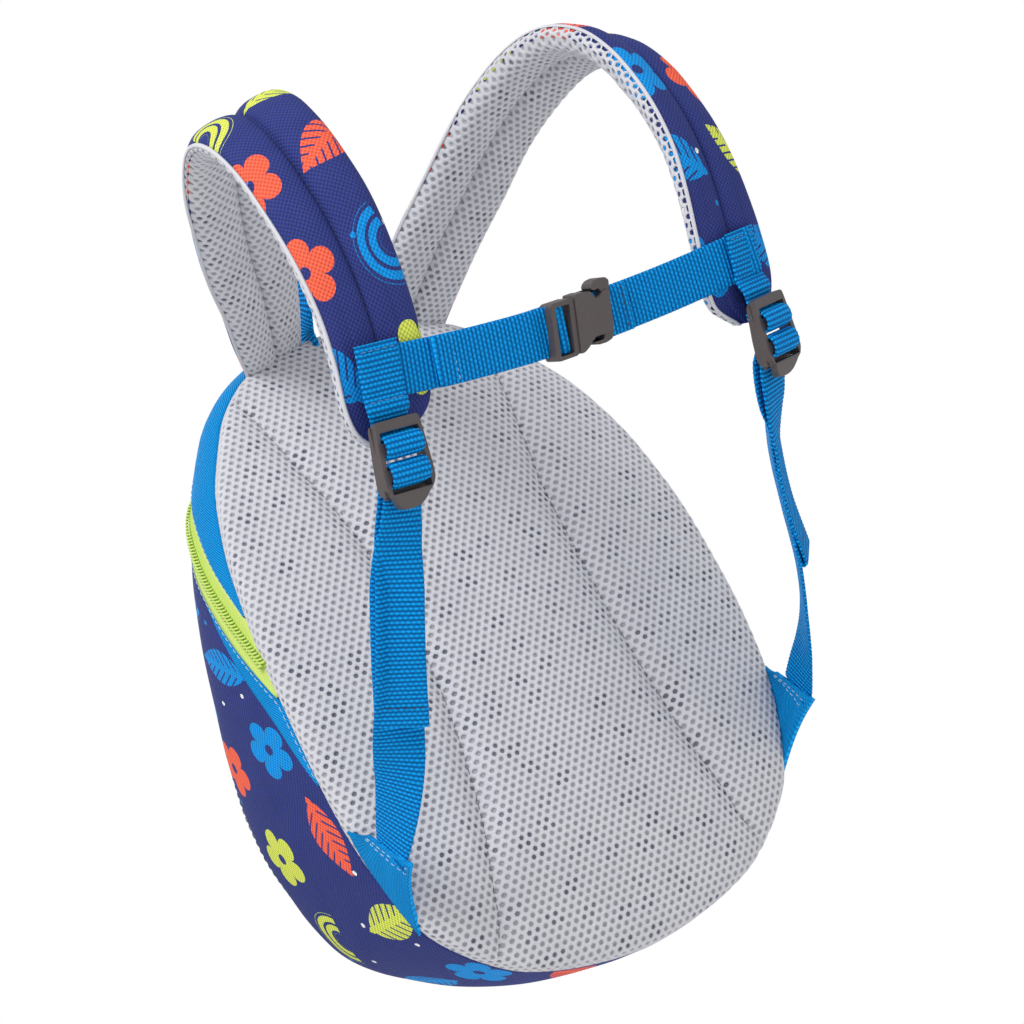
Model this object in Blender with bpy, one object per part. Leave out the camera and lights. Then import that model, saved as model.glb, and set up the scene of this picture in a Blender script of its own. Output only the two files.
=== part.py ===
"""Toddler harness backpack: egg-shaped bag, two padded shoulder straps and a chest strap.

Metres, +Z up. The mesh back panel faces -Y and the printed front faces +Y.
The origin is the middle of the back panel, where it rests on the wearer's back.
"""
import math

import bmesh
import bpy
import numpy as np

MM = 0.001
GAP = 0.0003

# Half width of the bag's outline against height, in mm, from the bottom to the top.
OUTLINE_HEIGHT = [-139.5, -138.8, -137, -134, -129, -122, -113, -103, -90, -75, -58, -39, -19, 0, 20,
                  41, 58, 73, 88, 102, 110, 117.5, 126, 132.5, 137, 140.5, 143.2, 144.4]
OUTLINE_WIDTH = [0, 12, 25, 39, 54, 66, 77, 86, 92, 97, 100.4, 102, 102.4, 102, 101.2,
                 98.6, 95.6, 91.2, 85.4, 77.3, 72.2, 67, 58.8, 50.5, 42.5, 34, 19, 0]

# Half width of the middle lobe of the back panel: the two sewn channels.
CHANNEL_HEIGHT = [-142, -122, -110, -98, -87, -71, -56, -38, -12, 15, 46, 57, 70, 81, 91, 99, 111, 122, 142]
CHANNEL_WIDTH = [70, 64, 59, 56, 53, 49, 46.5, 44, 42, 42, 43.5, 45.5, 48, 50.5, 52.5, 54, 56, 58, 64]

PANEL_EDGE_DEPTH = 7.0 * MM      # the sewn edge sits this far behind the crest of the padding
PANEL_CURVE = 0.85               # how the panel bends along its height, 1/m
PANEL_CURVE_MIDDLE = 5.0 * MM
PAD_HEIGHT = 7.0 * MM
PANEL_FLANGE = 3.6 * MM
CHANNEL_DROP = 0.55              # share of the padding pressed down along a channel
CHANNEL_SPREAD = 5.0 * MM

SHELL_WALL = 1.8 * MM
BODY_DEPTH = 102.0 * MM
BODY_CORNER = 0.17               # small is boxy, one is a half egg

# How far the sides swell beyond the outline, against the angle from straight down in radians
SWELL_ANGLE = [0, 0.4, 0.6, 0.8, 1.0, 1.25, 1.6, 1.9, 2.3, 2.7, 3.15]
SWELL = [0.056, 0.062, 0.076, 0.085, 0.085, 0.080, 0.067, 0.050, 0.034, 0.038, 0.045]

BODY_SHIFT = 16.0 * MM           # the front middle sits this much higher than the outline's
TOP_SLOPE = 0.74                 # share of the depth lost from the belly to the top
TAPE_HALF = 7.4 * MM
COIL_HALF = 2.6 * MM
COIL_HEIGHT = 1.6 * MM
TAPE_WALL = 1.1 * MM
BAND_LEAST = 1.9 * MM            # the blue band goes on over the top at least this wide

# Depth of the line between the blue band and the printed body against height, in mm.
BAND_HEIGHT = [-142, -60, -41, -26, -9, 10, 26, 40, 55, 82, 142]
BAND_DEPTH = [8, 10, 12.6, 16.4, 20.3, 26, 31, 35.5, 40, 50, 75]
COIL_SLOPE = 0.49                # the coil's plane: depth gained for each height, and its depth at the origin
COIL_DEPTH = 4.0 * MM

WEBBING_WIDTH = 18.8 * MM
WEBBING_THICK = 1.4 * MM
COVER_HEIGHT = 6.2 * MM
LINING_HEIGHT = 5.4 * MM

# Right shoulder strap: its outer and inner sewn edges, in mm, from the bag to the free end.
STRAP_OUTER = [(50, 21, 138), (55, 8, 143.5), (60, -8, 148.5), (64, -20, 153), (69, -35, 158),
               (75.5, -56, 165), (82, -76, 168.5), (88.5, -97, 168.5), (92.5, -112, 163.5), (94.5, -123, 154),
               (95, -130.5, 140), (95, -134, 125), (95, -136, 110), (95, -136, 95), (95, -133.5, 80),
               (95.5, -128.5, 65), (96, -122, 52), (93.5, -117, 43.5), (87, -114, 37.5)]
STRAP_INNER = [(16.5, 23, 148.4), (19.5, 8, 153.5), (23, -8, 158.5), (26.5, -21, 163), (31.5, -36, 168),
               (38.5, -58, 174.5), (45, -80, 178.5), (51.5, -102, 179), (56.5, -120, 174), (60, -134, 162),
               (61.5, -142, 147), (62, -146, 131), (62, -147.5, 116), (62, -146, 101), (61.5, -141.5, 86),
               (61, -135, 71), (61.5, -127, 56), (63.5, -120.5, 45.5), (74, -115.5, 38)]

# The ladder lock hangs from the strap end: its top middle, its downward and its sideways direction.
LOCK_TOP = (82.4, -128.4, 40.4)
LOCK_DOWN = (0.03, 0.46, -0.887)
LOCK_SIDE = (1.0, 0.10, 0.086)
LOCK_THICK = 3.0 * MM

# Side tab: its height on the seam and the two corners, in mm, of the edge that holds the lower webbing.
TAB_TOP_HEIGHT = -57.0 * MM
TAB_BOTTOM_HEIGHT = -101.0 * MM
TAB_NEAR = (98.0, 2.5, -63.3)
TAB_FAR = (95.5, -14.5, -82.9)
TAB_THICK = 1.8 * MM

# Chest strap, in mm: where it is sewn on the right strap, and how far its middle hangs back and down.
CHEST_END = (75.0, -132.4, 55.9)
CHEST_SAG = (0.0, 3.0, -3.0)
CHEST_UP = (0.0, -0.5, 0.865)    # sideways direction of its webbing, leaning towards the wearer's front
CHEST_OUT = (0.0, -0.865, -0.5)
BUCKLE_BACK = -2.0               # mm in front of the webbing's middle
BUCKLE_FRONT = 5.5
PLUG_BACK = 2.3

COLOURS = {
    "navy": (0.03, 0.045, 0.22), "mesh": (0.56, 0.57, 0.60), "lime": (0.56, 0.68, 0.10),
    "coil": (0.42, 0.56, 0.06), "webbing": (0.01, 0.20, 0.62), "plastic": (0.07, 0.055, 0.06),
}


def clear_scene():
    for obj in list(bpy.data.objects):
        bpy.data.objects.remove(obj, do_unlink=True)


def material(name, colour, roughness):
    mat = bpy.data.materials.new(name)
    mat.use_nodes = True
    shader = mat.node_tree.nodes["Principled BSDF"]
    shader.inputs["Base Color"].default_value = (*COLOURS[colour], 1.0)
    shader.inputs["Roughness"].default_value = roughness
    return mat


def make_object(name, points, faces, colour, roughness=0.85, smooth=True):
    """A named closed solid from points in metres and lists of corner numbers."""
    mesh = bpy.data.meshes.new(name)
    mesh.from_pydata([tuple(float(c) for c in p) for p in points], [], faces)
    mesh.validate()
    work = bmesh.new()
    work.from_mesh(mesh)
    bmesh.ops.recalc_face_normals(work, faces=work.faces)
    bmesh.ops.triangulate(work, faces=work.faces)
    for face in work.faces:
        face.smooth = smooth
    work.to_mesh(mesh)
    work.free()
    mesh.materials.append(material(name, colour, roughness))
    obj = bpy.data.objects.new(name, mesh)
    bpy.context.scene.collection.objects.link(obj)
    return obj


def mirrored(points):
    return [(-p[0], p[1], p[2]) for p in points]


def unit(vector):
    vector = np.asarray(vector, dtype=float)
    return vector / np.linalg.norm(vector)


def loft(rings):
    """Points and faces of a closed solid through rings with the same count of corners."""
    count = len(rings[0])
    points = [p for ring in rings for p in ring]
    faces = []
    for row in range(len(rings) - 1):
        for i in range(count):
            j = (i + 1) % count
            a = row * count
            faces.append((a + i, a + j, a + count + j, a + count + i))
    faces.append(tuple(range(count)))
    last = (len(rings) - 1) * count
    faces.append(tuple(last + i for i in reversed(range(count))))
    return points, faces


def wall(outer, inner, around=False, pole=False):
    """Points and faces of a wall between two grids of points, rows first.

    around joins the last column to the first; pole draws the last row together to one point.
    """
    rows, columns = len(outer), len(outer[0])
    points = []
    index = []
    for grid in (outer, inner):
        table = []
        for r, row in enumerate(grid):
            if pole and r == rows - 1:
                points.append(np.mean(np.asarray(row), axis=0))
                table.append([len(points) - 1] * columns)
            else:
                start = len(points)
                points.extend(row)
                table.append(list(range(start, start + columns)))
        index.append(table)
    faces = []
    steps = columns if around else columns - 1

    def add(*corners):
        kept = []
        for corner in corners:
            if corner not in kept:
                kept.append(corner)
        if len(kept) > 2:
            faces.append(tuple(kept))

    for table in index:
        for r in range(rows - 1):
            for c in range(steps):
                d = (c + 1) % columns
                add(table[r][c], table[r][d], table[r + 1][d], table[r + 1][c])
    out, inn = index
    for c in range(steps):
        d = (c + 1) % columns
        add(out[0][c], out[0][d], inn[0][d], inn[0][c])
        if not pole:
            add(out[-1][c], out[-1][d], inn[-1][d], inn[-1][c])
    if not around:
        for r in range(rows - 1):
            add(out[r][0], out[r + 1][0], inn[r + 1][0], inn[r][0])
            add(out[r][-1], out[r + 1][-1], inn[r + 1][-1], inn[r][-1])
    return points, faces


def half_width(z):
    return np.interp(z / MM, OUTLINE_HEIGHT, OUTLINE_WIDTH) * MM


def channel_width(z):
    return np.interp(z / MM, CHANNEL_HEIGHT, CHANNEL_WIDTH) * MM


OUTLINE_ANGLE = np.arctan2(OUTLINE_WIDTH, -np.array(OUTLINE_HEIGHT, dtype=float))
OUTLINE_RADIUS = np.hypot(OUTLINE_WIDTH, OUTLINE_HEIGHT) * MM


def outline_radius(angle):
    """Distance of the outline from the origin; angle 0 is straight down."""
    turned = abs((angle + math.pi) % (2 * math.pi) - math.pi)
    return float(np.interp(turned, OUTLINE_ANGLE, OUTLINE_RADIUS))


def edge_depth(z):
    return PANEL_EDGE_DEPTH + PANEL_CURVE * (z - PANEL_CURVE_MIDDLE) ** 2


def body_point(angle, travel):
    """A point on the outside of the bag; travel 0 is the rim by the panel, 1 the front middle."""
    turn = travel * math.pi / 2
    scale = max(math.cos(turn), 0.0) ** BODY_CORNER
    rise = math.sin(turn)
    radius = outline_radius(angle)
    swell = float(np.interp(abs((angle + math.pi) % (2 * math.pi) - math.pi), SWELL_ANGLE, SWELL))
    x = radius * math.sin(angle) * scale * (1 + swell * math.sin(2 * turn))
    z = -radius * math.cos(angle) * scale + BODY_SHIFT * rise
    slope = 1 - TOP_SLOPE * min(max((z + 0.02) / 0.16, 0.0), 1.3)
    rim = edge_depth(-radius * math.cos(angle)) + PANEL_FLANGE + GAP
    return np.array([x, rim + BODY_DEPTH * rise * slope, z])


def coil_distance(p):
    """Signed distance past the plane of the zip coil, towards the front."""
    return (p[1] - COIL_SLOPE * p[2] - COIL_DEPTH) / math.hypot(1, COIL_SLOPE)


def band_distance(p):
    return p[1] - float(np.interp(p[2] / MM, BAND_HEIGHT, BAND_DEPTH)) * MM


TRAVELS = np.concatenate([np.linspace(0, 0.9, 160), np.linspace(0.9, 1.0, 81)[1:]])


def travel_where(angle, reached):
    """First travel at which reached(point) holds, refined between the samples."""
    before = None
    for travel in TRAVELS:
        value = reached(body_point(angle, travel))
        if value >= 0:
            if before is None:
                return 0.0
            t0, v0 = before
            return t0 + (travel - t0) * (-v0) / (value - v0)
        before = (travel, value)
    return 1.0


def body_normal(angle, travel):
    step = 0.004
    low, high = max(travel - step, 0.0), min(travel + step, 0.999)
    along = body_point(angle, high) - body_point(angle, low)
    across = body_point(angle + 0.02, travel) - body_point(angle - 0.02, travel)
    return unit(np.cross(along, across))


def body_grid(angles, lows, highs, rows, thickness, lift=0.0, gap=GAP / 2):
    """Outer and inner grid of a piece of the bag's wall between two travels at each angle."""
    outer, inner = [], []
    for r in range(rows):
        outer_row, inner_row = [], []
        for angle, low, high in zip(angles, lows, highs):
            travel = low + (high - low) * r / (rows - 1)
            p = body_point(angle, travel)
            n = body_normal(angle, min(travel, 0.985))
            outer_row.append(p + n * lift)
            inner_row.append(p + n * (lift - thickness))
        outer.append(outer_row)
        inner.append(inner_row)
    for grid in (outer, inner):
        for c in range(len(angles)):
            first = unit(grid[1][c] - grid[0][c])
            last = unit(grid[-1][c] - grid[-2][c])
            grid[0][c] = grid[0][c] + first * gap
            grid[-1][c] = grid[-1][c] - last * gap
    return outer, inner


def build_body():
    angles = np.linspace(0, 2 * math.pi, 65)[:-1]
    upper = [travel_where(a, lambda p: coil_distance(p) + TAPE_HALF) for a in angles]
    lower = [travel_where(a, lambda p: coil_distance(p) - TAPE_HALF) for a in angles]
    band = [travel_where(a, lambda p: min(coil_distance(p) - TAPE_HALF - BAND_LEAST, band_distance(p)))
            for a in angles]
    coil = [(high + low) / 2 for high, low in zip(upper, lower)]

    def piece(name, lows, highs, rows, thickness, colour, least=1.2 * MM):
        chosen = []
        for i, angle in enumerate(angles):
            height = np.linalg.norm(body_point(angle, highs[i]) - body_point(angle, lows[i]))
            if height > least + GAP:
                chosen.append(i)
        outer, inner = body_grid([angles[i] for i in chosen], [lows[i] for i in chosen],
                                 [highs[i] for i in chosen], rows, thickness)
        make_object(name, *wall(outer, inner), colour)

    zero = [0.0] * len(angles)
    piece("upper_gusset", zero, upper, 6, SHELL_WALL, "webbing")
    piece("zip_tape", upper, lower, 5, TAPE_WALL, "lime")
    piece("lower_zip_band", lower, band, 4, SHELL_WALL, "webbing")

    rows = 13
    outer, inner = [], []
    for r in range(rows):
        share = r / (rows - 1)
        outer_row, inner_row = [], []
        for angle, low in zip(angles, band):
            travel = low + (1.0 - low) * share
            p = body_point(angle, travel)
            n = body_normal(angle, min(travel, 0.985))
            outer_row.append(p)
            inner_row.append(p - n * SHELL_WALL)
        outer.append(outer_row)
        inner.append(inner_row)
    for grid in (outer, inner):
        for c in range(len(angles)):
            grid[0][c] = grid[0][c] + unit(grid[1][c] - grid[0][c]) * GAP / 2
    top = body_point(0.0, 1.0)
    outer[-1] = [top] * len(angles)
    inner[-1] = [top - np.array([0, SHELL_WALL, 0])] * len(angles)
    make_object("body_shell", *wall(outer, inner, around=True, pole=True), "navy")

    rings = []
    for i, angle in enumerate(angles):
        if coil[i] <= 0.0 or upper[i] <= 0.0:
            continue
        p = body_point(angle, coil[i])
        n = body_normal(angle, coil[i])
        along = unit(body_point(angle, coil[i] + 0.01) - p)
        base = p + n * 2 * GAP
        ring = []
        for side, height in ((-1, 0), (-0.8, 0.75), (0, 1), (0.8, 0.75), (1, 0)):
            ring.append(base + along * COIL_HALF * side + n * COIL_HEIGHT * height)
        rings.append(ring)
    make_object("zip_coil", *loft(rings), "coil", 0.45)

    middle = len(rings) // 2
    centre = np.mean(np.array(rings[middle]), axis=0)
    ahead = unit(np.mean(np.array(rings[middle + 1]), axis=0) - centre)
    normal = body_normal(math.pi, coil[len(angles) // 2])
    side = np.cross(ahead, normal)
    base = rings[middle][2] + normal * GAP
    rings = []
    for share, half, height in ((-1, 2.2, 1.6), (-0.6, 4.2, 2.8), (0.2, 4.2, 2.8), (0.55, 2.6, 1.8),
                                (2.6, 2.6, 1.8), (3.6, 3.2, 1.8)):
        here = base + ahead * share * 6.0 * MM
        ring = [here + side * half * MM, here + side * half * MM + normal * height * MM,
                here - side * half * MM + normal * height * MM, here - side * half * MM]
        rings.append(ring)
    make_object("zip_slider", *loft(rings), "plastic", 0.5)


def panel_front(x, z, share):
    """Depth of the padded face; share is 0 in the middle and 1 at the sewn edge."""
    falloff = math.sqrt(max(1 - share ** 7, 0.0))
    to_channel = abs(abs(x) - channel_width(z))
    pressed = CHANNEL_DROP * math.exp(-(to_channel / CHANNEL_SPREAD) ** 2)
    return edge_depth(z) - PAD_HEIGHT * falloff * (1 - pressed)


def build_panel():
    heights = [-138.8, -136, -131, -124, -115, -103, -88, -70, -50, -30, -10, 12, 34, 56, 76, 94, 108, 120,
               130, 136.5, 140.5]
    outer, inner = [], []
    for height in heights:
        z = height * MM
        edge = half_width(z)
        channel = min(channel_width(z), edge * 0.93)
        outer_lobe = edge - channel
        beside = min(CHANNEL_SPREAD * 1.3, channel * 0.4)
        columns = [channel * 0.45, channel - beside, channel, channel + min(beside, outer_lobe * 0.3),
                   channel + outer_lobe / 2, edge - outer_lobe * 0.16, edge * 0.985, edge]
        xs = sorted(columns + [0.0] + [-x for x in columns])
        outer_row, inner_row = [], []
        for x in xs:
            angle = math.atan2(x, -z)
            share = min(math.hypot(x, z) / outline_radius(angle), 1.0)
            outer_row.append(np.array([x, panel_front(x, z, share), z]))
            inner_row.append(np.array([x * 0.998, edge_depth(z) + PANEL_FLANGE, z]))
        outer.append(outer_row)
        inner.append(inner_row)
    make_object("back_panel", *wall(outer, inner), "mesh")


def strap_frames():
    """Outer edge, inner edge and outward direction at each station of the right strap."""
    outer = [np.array(p) * MM for p in STRAP_OUTER]
    inner = [np.array(p) * MM for p in STRAP_INNER]
    frames = []
    for i in range(len(outer)):
        j, k = max(i - 1, 0), min(i + 1, len(outer) - 1)
        along = unit((outer[k] + inner[k]) - (outer[j] + inner[j]))
        side = unit(outer[i] - inner[i])
        normal = unit(np.cross(along, side))
        frames.append((outer[i], inner[i], normal))
    return frames


def strap_rings(height, sign):
    """Rings of one half of the strap's padding: two tubes side by side with a sewn middle."""
    shares = [0, 0.04, 0.14, 0.27, 0.40, 0.47, 0.5, 0.53, 0.60, 0.73, 0.86, 0.96, 1]
    frames = strap_frames()
    rings = []
    for i, (outer, inner, normal) in enumerate(frames):
        from_bag = i / 2.0
        from_end = (len(frames) - 1 - i) / 2.4
        fullness = min(1.0, 0.35 + 0.65 * from_bag, 0.35 + 0.65 * from_end)
        ring = []
        for share in shares:
            tube = abs(4 * (share if share <= 0.5 else 1 - share) - 1)
            bump = math.sqrt(max(1 - tube ** 2.2, 0.0))
            rise = (0.9 * MM + (height - 0.9 * MM) * bump * fullness) * sign
            ring.append(inner + (outer - inner) * share + normal * (rise + sign * GAP / 2))
        base = [outer + normal * sign * GAP / 2, inner + normal * sign * GAP / 2]
        rings.append(ring + base)
    return rings


def build_straps():
    for side in ("left", "right"):
        for name, height, sign, colour in (("strap_cover", COVER_HEIGHT, 1, "navy"),
                                           ("strap_lining", LINING_HEIGHT, -1, "mesh")):
            points, faces = loft(strap_rings(height, sign))
            if side == "left":
                points = mirrored(points)
            make_object(name + "_" + side, points, faces, colour)


def ribbon(stations, width, thick):
    """A flat band through (middle, sideways direction) stations, with its thickness across."""
    rings = []
    for i, (middle, side) in enumerate(stations):
        j, k = max(i - 1, 0), min(i + 1, len(stations) - 1)
        along = unit(stations[k][0] - stations[j][0])
        side = unit(side - along * np.dot(side, along))
        normal = np.cross(side, along)
        half = side * width / 2
        up = normal * thick / 2
        rings.append([middle - half - up, middle + half - up, middle + half + up, middle - half + up])
    return loft(rings)


def lock_frame():
    down = unit(LOCK_DOWN)
    side = unit(np.array(LOCK_SIDE) - down * np.dot(LOCK_SIDE, down))
    normal = np.cross(side, down)
    if normal[1] > 0:
        normal = -normal
    return np.array(LOCK_TOP) * MM, down, side, normal


def in_lock(u, n, s=0.0):
    """A point given in mm down, outward and sideways from the lock's top middle."""
    top, down, side, normal = lock_frame()
    return top + (down * u + normal * n + side * s) * MM


def lock_grid():
    """The lock as one plate with three openings, from a table of cells that are filled."""
    downs = [0, 4.2, 7.6, 12.0, 17.4, 21.6, 25.0, 29.0]
    sides = [-11.4, -9.7, 9.7, 11.4]
    open_cells = {(1, 1), (3, 1), (5, 1)}
    back, front = -LOCK_THICK / MM / 2, LOCK_THICK / MM / 2
    index = {}
    points = []

    def corner(i, j, level):
        key = (i, j, level)
        if key not in index:
            index[key] = len(points)
            s = sides[j]
            if i == len(downs) - 1:
                s = s * 0.72
            points.append(in_lock(downs[i], (back, front)[level], s))
        return index[key]

    filled = [(i, j) for i in range(len(downs) - 1) for j in range(3) if (i, j) not in open_cells]
    faces = []
    for i, j in filled:
        for level in (0, 1):
            faces.append((corner(i, j, level), corner(i, j + 1, level),
                          corner(i + 1, j + 1, level), corner(i + 1, j, level)))
        for (di, dj), (a, b) in (((-1, 0), ((i, j), (i, j + 1))), ((1, 0), ((i + 1, j), (i + 1, j + 1))),
                                 ((0, -1), ((i, j), (i + 1, j))), ((0, 1), ((i, j + 1), (i + 1, j + 1)))):
            near = (i + di, j + dj)
            if near in filled:
                continue
            if near[0] == len(downs) - 1 and j == 1:
                continue
            faces.append((corner(*a, 0), corner(*b, 0), corner(*b, 1), corner(*a, 1)))
    tip = []
    for s, u in ((-5.0, 30.8), (0, 31.8), (5.0, 30.8)):
        pair = []
        for level in (0, 1):
            points.append(in_lock(u, (back, front)[level], s))
            pair.append(len(points) - 1)
        tip.append(pair)
    last = len(downs) - 1
    chain = [(corner(last, 1, 0), corner(last, 1, 1))] + tip + [(corner(last, 2, 0), corner(last, 2, 1))]
    for a, b in zip(chain[:-1], chain[1:]):
        faces.append((a[0], b[0], b[1], a[1]))
    for level in (0, 1):
        faces.append(tuple(pair[level] for pair in chain))
    return points, faces


def build_locks():
    for side in ("left", "right"):
        points, faces = lock_grid()
        if side == "left":
            points = mirrored(points)
        make_object("ladder_lock_" + side, points, faces, "plastic", 0.5, smooth=False)


def along_lock(path):
    side = lock_frame()[2]
    return [(in_lock(u, n), side) for u, n in path]


def build_anchor_webbing():
    """From the strap's face, behind the lock's top bar, over its first bar and back."""
    path = [(-24, 3.0), (-18, 3.6), (-12, 3.7), (-7, 3.4), (-4.2, 1.6), (-2.0, -1.4), (0.6, -3.3),
            (3.6, -3.2), (5.2, -1.8), (5.8, 0.4), (6.2, 2.2), (7.4, 3.1), (9.8, 3.4), (12.2, 3.1),
            (13.2, 1.8), (13.4, -0.4), (12.8, -2.6), (11, -4.4), (8, -5.2), (4.5, -5.3)]
    for side in ("left", "right"):
        points, faces = ribbon(along_lock(path), WEBBING_WIDTH - 1.2 * MM, WEBBING_THICK)
        if side == "left":
            points = mirrored(points)
        make_object("anchor_webbing_" + side, points, faces, "webbing")


def load_middle(start, end, share):
    """Middle of the lower webbing between the tab and the lock, with a slight sag."""
    sag = np.array([1.5, -3.5, -4.0]) * MM
    return start + (end - start) * share + sag * math.sin(math.pi * share)


def load_side(tab_side, lock_side, share):
    """Sideways direction of the lower webbing as it turns from the tab to the lock."""
    mix = share ** 1.6
    return unit(tab_side * (1 - mix) + lock_side * mix)


def build_lower_webbing():
    """From the tab up behind the lock, over its second bar and down again as the free tail."""
    side = lock_frame()[2]
    near, far = np.array(TAB_NEAR) * MM, np.array(TAB_FAR) * MM
    tab_side = unit(near - far)
    start = (near + far) / 2
    lift = unit(in_lock(30, -6) - start)
    stations = [(start + lift * 1.3 * MM, tab_side)]
    end = in_lock(27, -6.4)
    for share in np.linspace(0.08, 0.92, 13):
        stations.append((load_middle(start, end, share), load_side(tab_side, side, share)))
    stations.append((end, side))
    stations += along_lock([(22, -5.4), (19, -3.6), (17.0, -3.2), (15.9, -1.6), (15.5, 0.6), (16.0, 2.4),
                            (17.4, 3.1), (19.5, 3.4), (21.6, 3.1), (23.0, 1.8), (23.4, -0.2), (24.2, -2.2),
                            (26.4, -3.2), (30.0, -3.6), (34.0, -3.8)])
    outward = unit(np.cross(unit(end - start), side))
    outward = outward if outward[1] < 0 else -outward
    for share, apart in ((0.86, 3.0), (0.80, 2.8), (0.74, 2.7), (0.68, 2.7), (0.62, 2.8), (0.57, 3.0),
                         (0.52, 3.2), (0.47, 3.5), (0.43, 3.8)):
        middle = load_middle(start, end, share) + outward * apart * MM
        stations.append((middle, load_side(tab_side, side, share)))
    for name in ("left", "right"):
        points, faces = ribbon(stations, WEBBING_WIDTH - 0.4 * MM, WEBBING_THICK)
        if name == "left":
            points = mirrored(points)
        make_object("lower_webbing_" + name, points, faces, "webbing")


def beside_seam(z, out, back):
    """A point beside the side seam: out from the outline and back from the panel's sewn edge."""
    here = np.array([half_width(z), z])
    rise = np.array([half_width(z + 2 * MM) - half_width(z - 2 * MM), 4 * MM])
    outward = unit([rise[1], -rise[0]])
    x, z_out = here + outward * out
    return np.array([x, edge_depth(z) + back, z_out])


def build_tabs():
    """A doubled triangle of fabric from the side seam to the end of the lower webbing."""
    near, far = np.array(TAB_NEAR) * MM, np.array(TAB_FAR) * MM
    clear = TAB_THICK / 2 + GAP
    rows = []
    for back in (PANEL_FLANGE, 0.0, -2.5 * MM):
        rows.append([beside_seam(TAB_TOP_HEIGHT + (TAB_BOTTOM_HEIGHT - TAB_TOP_HEIGHT) * t,
                                 clear + 0.35 * MM, back) for t in (0, 0.5, 1)])
    rows.append([near, (near + far) / 2, far])
    outer, inner = [], []
    for r, row in enumerate(rows):
        ahead = rows[min(r + 1, 3)][1] - rows[max(r - 1, 0)][1]
        normal = unit(np.cross(ahead, row[2] - row[0]))
        outer.append([p + normal * TAB_THICK / 2 for p in row])
        inner.append([p - normal * TAB_THICK / 2 for p in row])
    for side in ("left", "right"):
        points, faces = wall(outer, inner)
        if side == "left":
            points = mirrored(points)
        make_object("side_tab_" + side, points, faces, "webbing", smooth=False)


def build_handle():
    stations = []
    half = [(12.5, 26.5, 146.4), (12.5, 25.4, 150.5), (12.5, 17, 158), (12, 12, 168), (11.5, 8, 181),
            (9.5, 5.5, 192), (6.5, 4, 200), (2.5, 3.5, 204)]
    for x, y, z in [(-x, y, z) for x, y, z in half] + half[::-1]:
        stations.append((np.array([x, y, z]) * MM, np.array([0.0, 1.0, 0.0])))
    make_object("grab_handle", *ribbon(stations, WEBBING_WIDTH, 2.2 * MM), "webbing")


def on_chest(x, out, up=0.0):
    """A point given in mm along the chest strap, in front of its webbing and across it."""
    slack = 1 - (x / CHEST_END[0]) ** 2
    middle = np.array([x, CHEST_END[1], CHEST_END[2]]) + np.array(CHEST_SAG) * slack
    return (middle + np.array(CHEST_OUT) * out + np.array(CHEST_UP) * up) * MM


def build_chest():
    left = [(-76, 2.4), (-72, 2.6), (-66, 2.8), (-58, 2.4), (-46, 1.0), (-30, -0.7), (-20, -0.8),
            (-12, -0.8), (-8.6, -0.9), (-7.0, -0.5), (-7.0, 0.9), (-8.6, 1.2), (-12, 1.1), (-20, 1.2),
            (-30, 1.5), (-46, 3.2), (-56, 4.8)]
    right = [(76, 2.4), (72, 2.6), (66, 2.8), (58, 2.4), (44, 1.0), (34, -0.2), (26, -0.7), (18, -0.8),
             (15.6, -0.8), (14.4, -0.3), (14.4, 1.2), (16, 1.6), (20, 1.4), (26, 1.5), (31, 1.8)]
    for name, path in (("left", left), ("right", right)):
        stations = [(on_chest(x, out), np.array(CHEST_UP)) for x, out in path]
        points, faces = ribbon(stations, WEBBING_WIDTH - 1.0 * MM, WEBBING_THICK)
        make_object("chest_webbing_" + name, points, faces, "webbing")


def build_buckle():
    socket = [(-2.2, -10.4), (1.6, -9.4), (4.8, -7.4), (9.2, -7.6), (11.0, -9.3), (13.1, -9.0), (13.4, 11.8),
              (9.8, 13.2), (6.2, 12.4), (5.6, 9.6), (1.4, 10.4), (-2.2, 10.3)]
    rings = [[on_chest(x, out, up) for x, up in socket] for out in (BUCKLE_BACK, BUCKLE_FRONT)]
    make_object("buckle_socket", *loft(rings), "plastic", 0.5, smooth=False)
    outline = [(-12.8, -10.8), (-2.6, -10.8), (-2.6, 9.7), (-12.8, 9.7)]
    window = [(-10.9, -9.0), (-4.6, -9.0), (-4.6, 8.0), (-10.9, 8.0)]
    points = [on_chest(x, out, up) for ring in (outline, window) for out in (PLUG_BACK, BUCKLE_FRONT)
              for x, up in ring]
    faces = []
    for i in range(4):
        j = (i + 1) % 4
        faces += [(i, j, j + 4, i + 4), (i + 8, j + 8, j + 12, i + 12)]
        faces += [(i, j, j + 8, i + 8), (i + 4, j + 4, j + 12, i + 12)]
    make_object("buckle_plug", points, faces, "plastic", 0.5, smooth=False)


clear_scene()
build_panel()
build_body()
build_straps()
build_handle()
build_anchor_webbing()
build_locks()
build_lower_webbing()
build_tabs()
build_chest()
build_buckle()
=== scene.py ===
import math

import bmesh
import bpy
import numpy as np
from mathutils import Matrix, Vector, noise
from mathutils.geometry import tessellate_polygon


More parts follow.
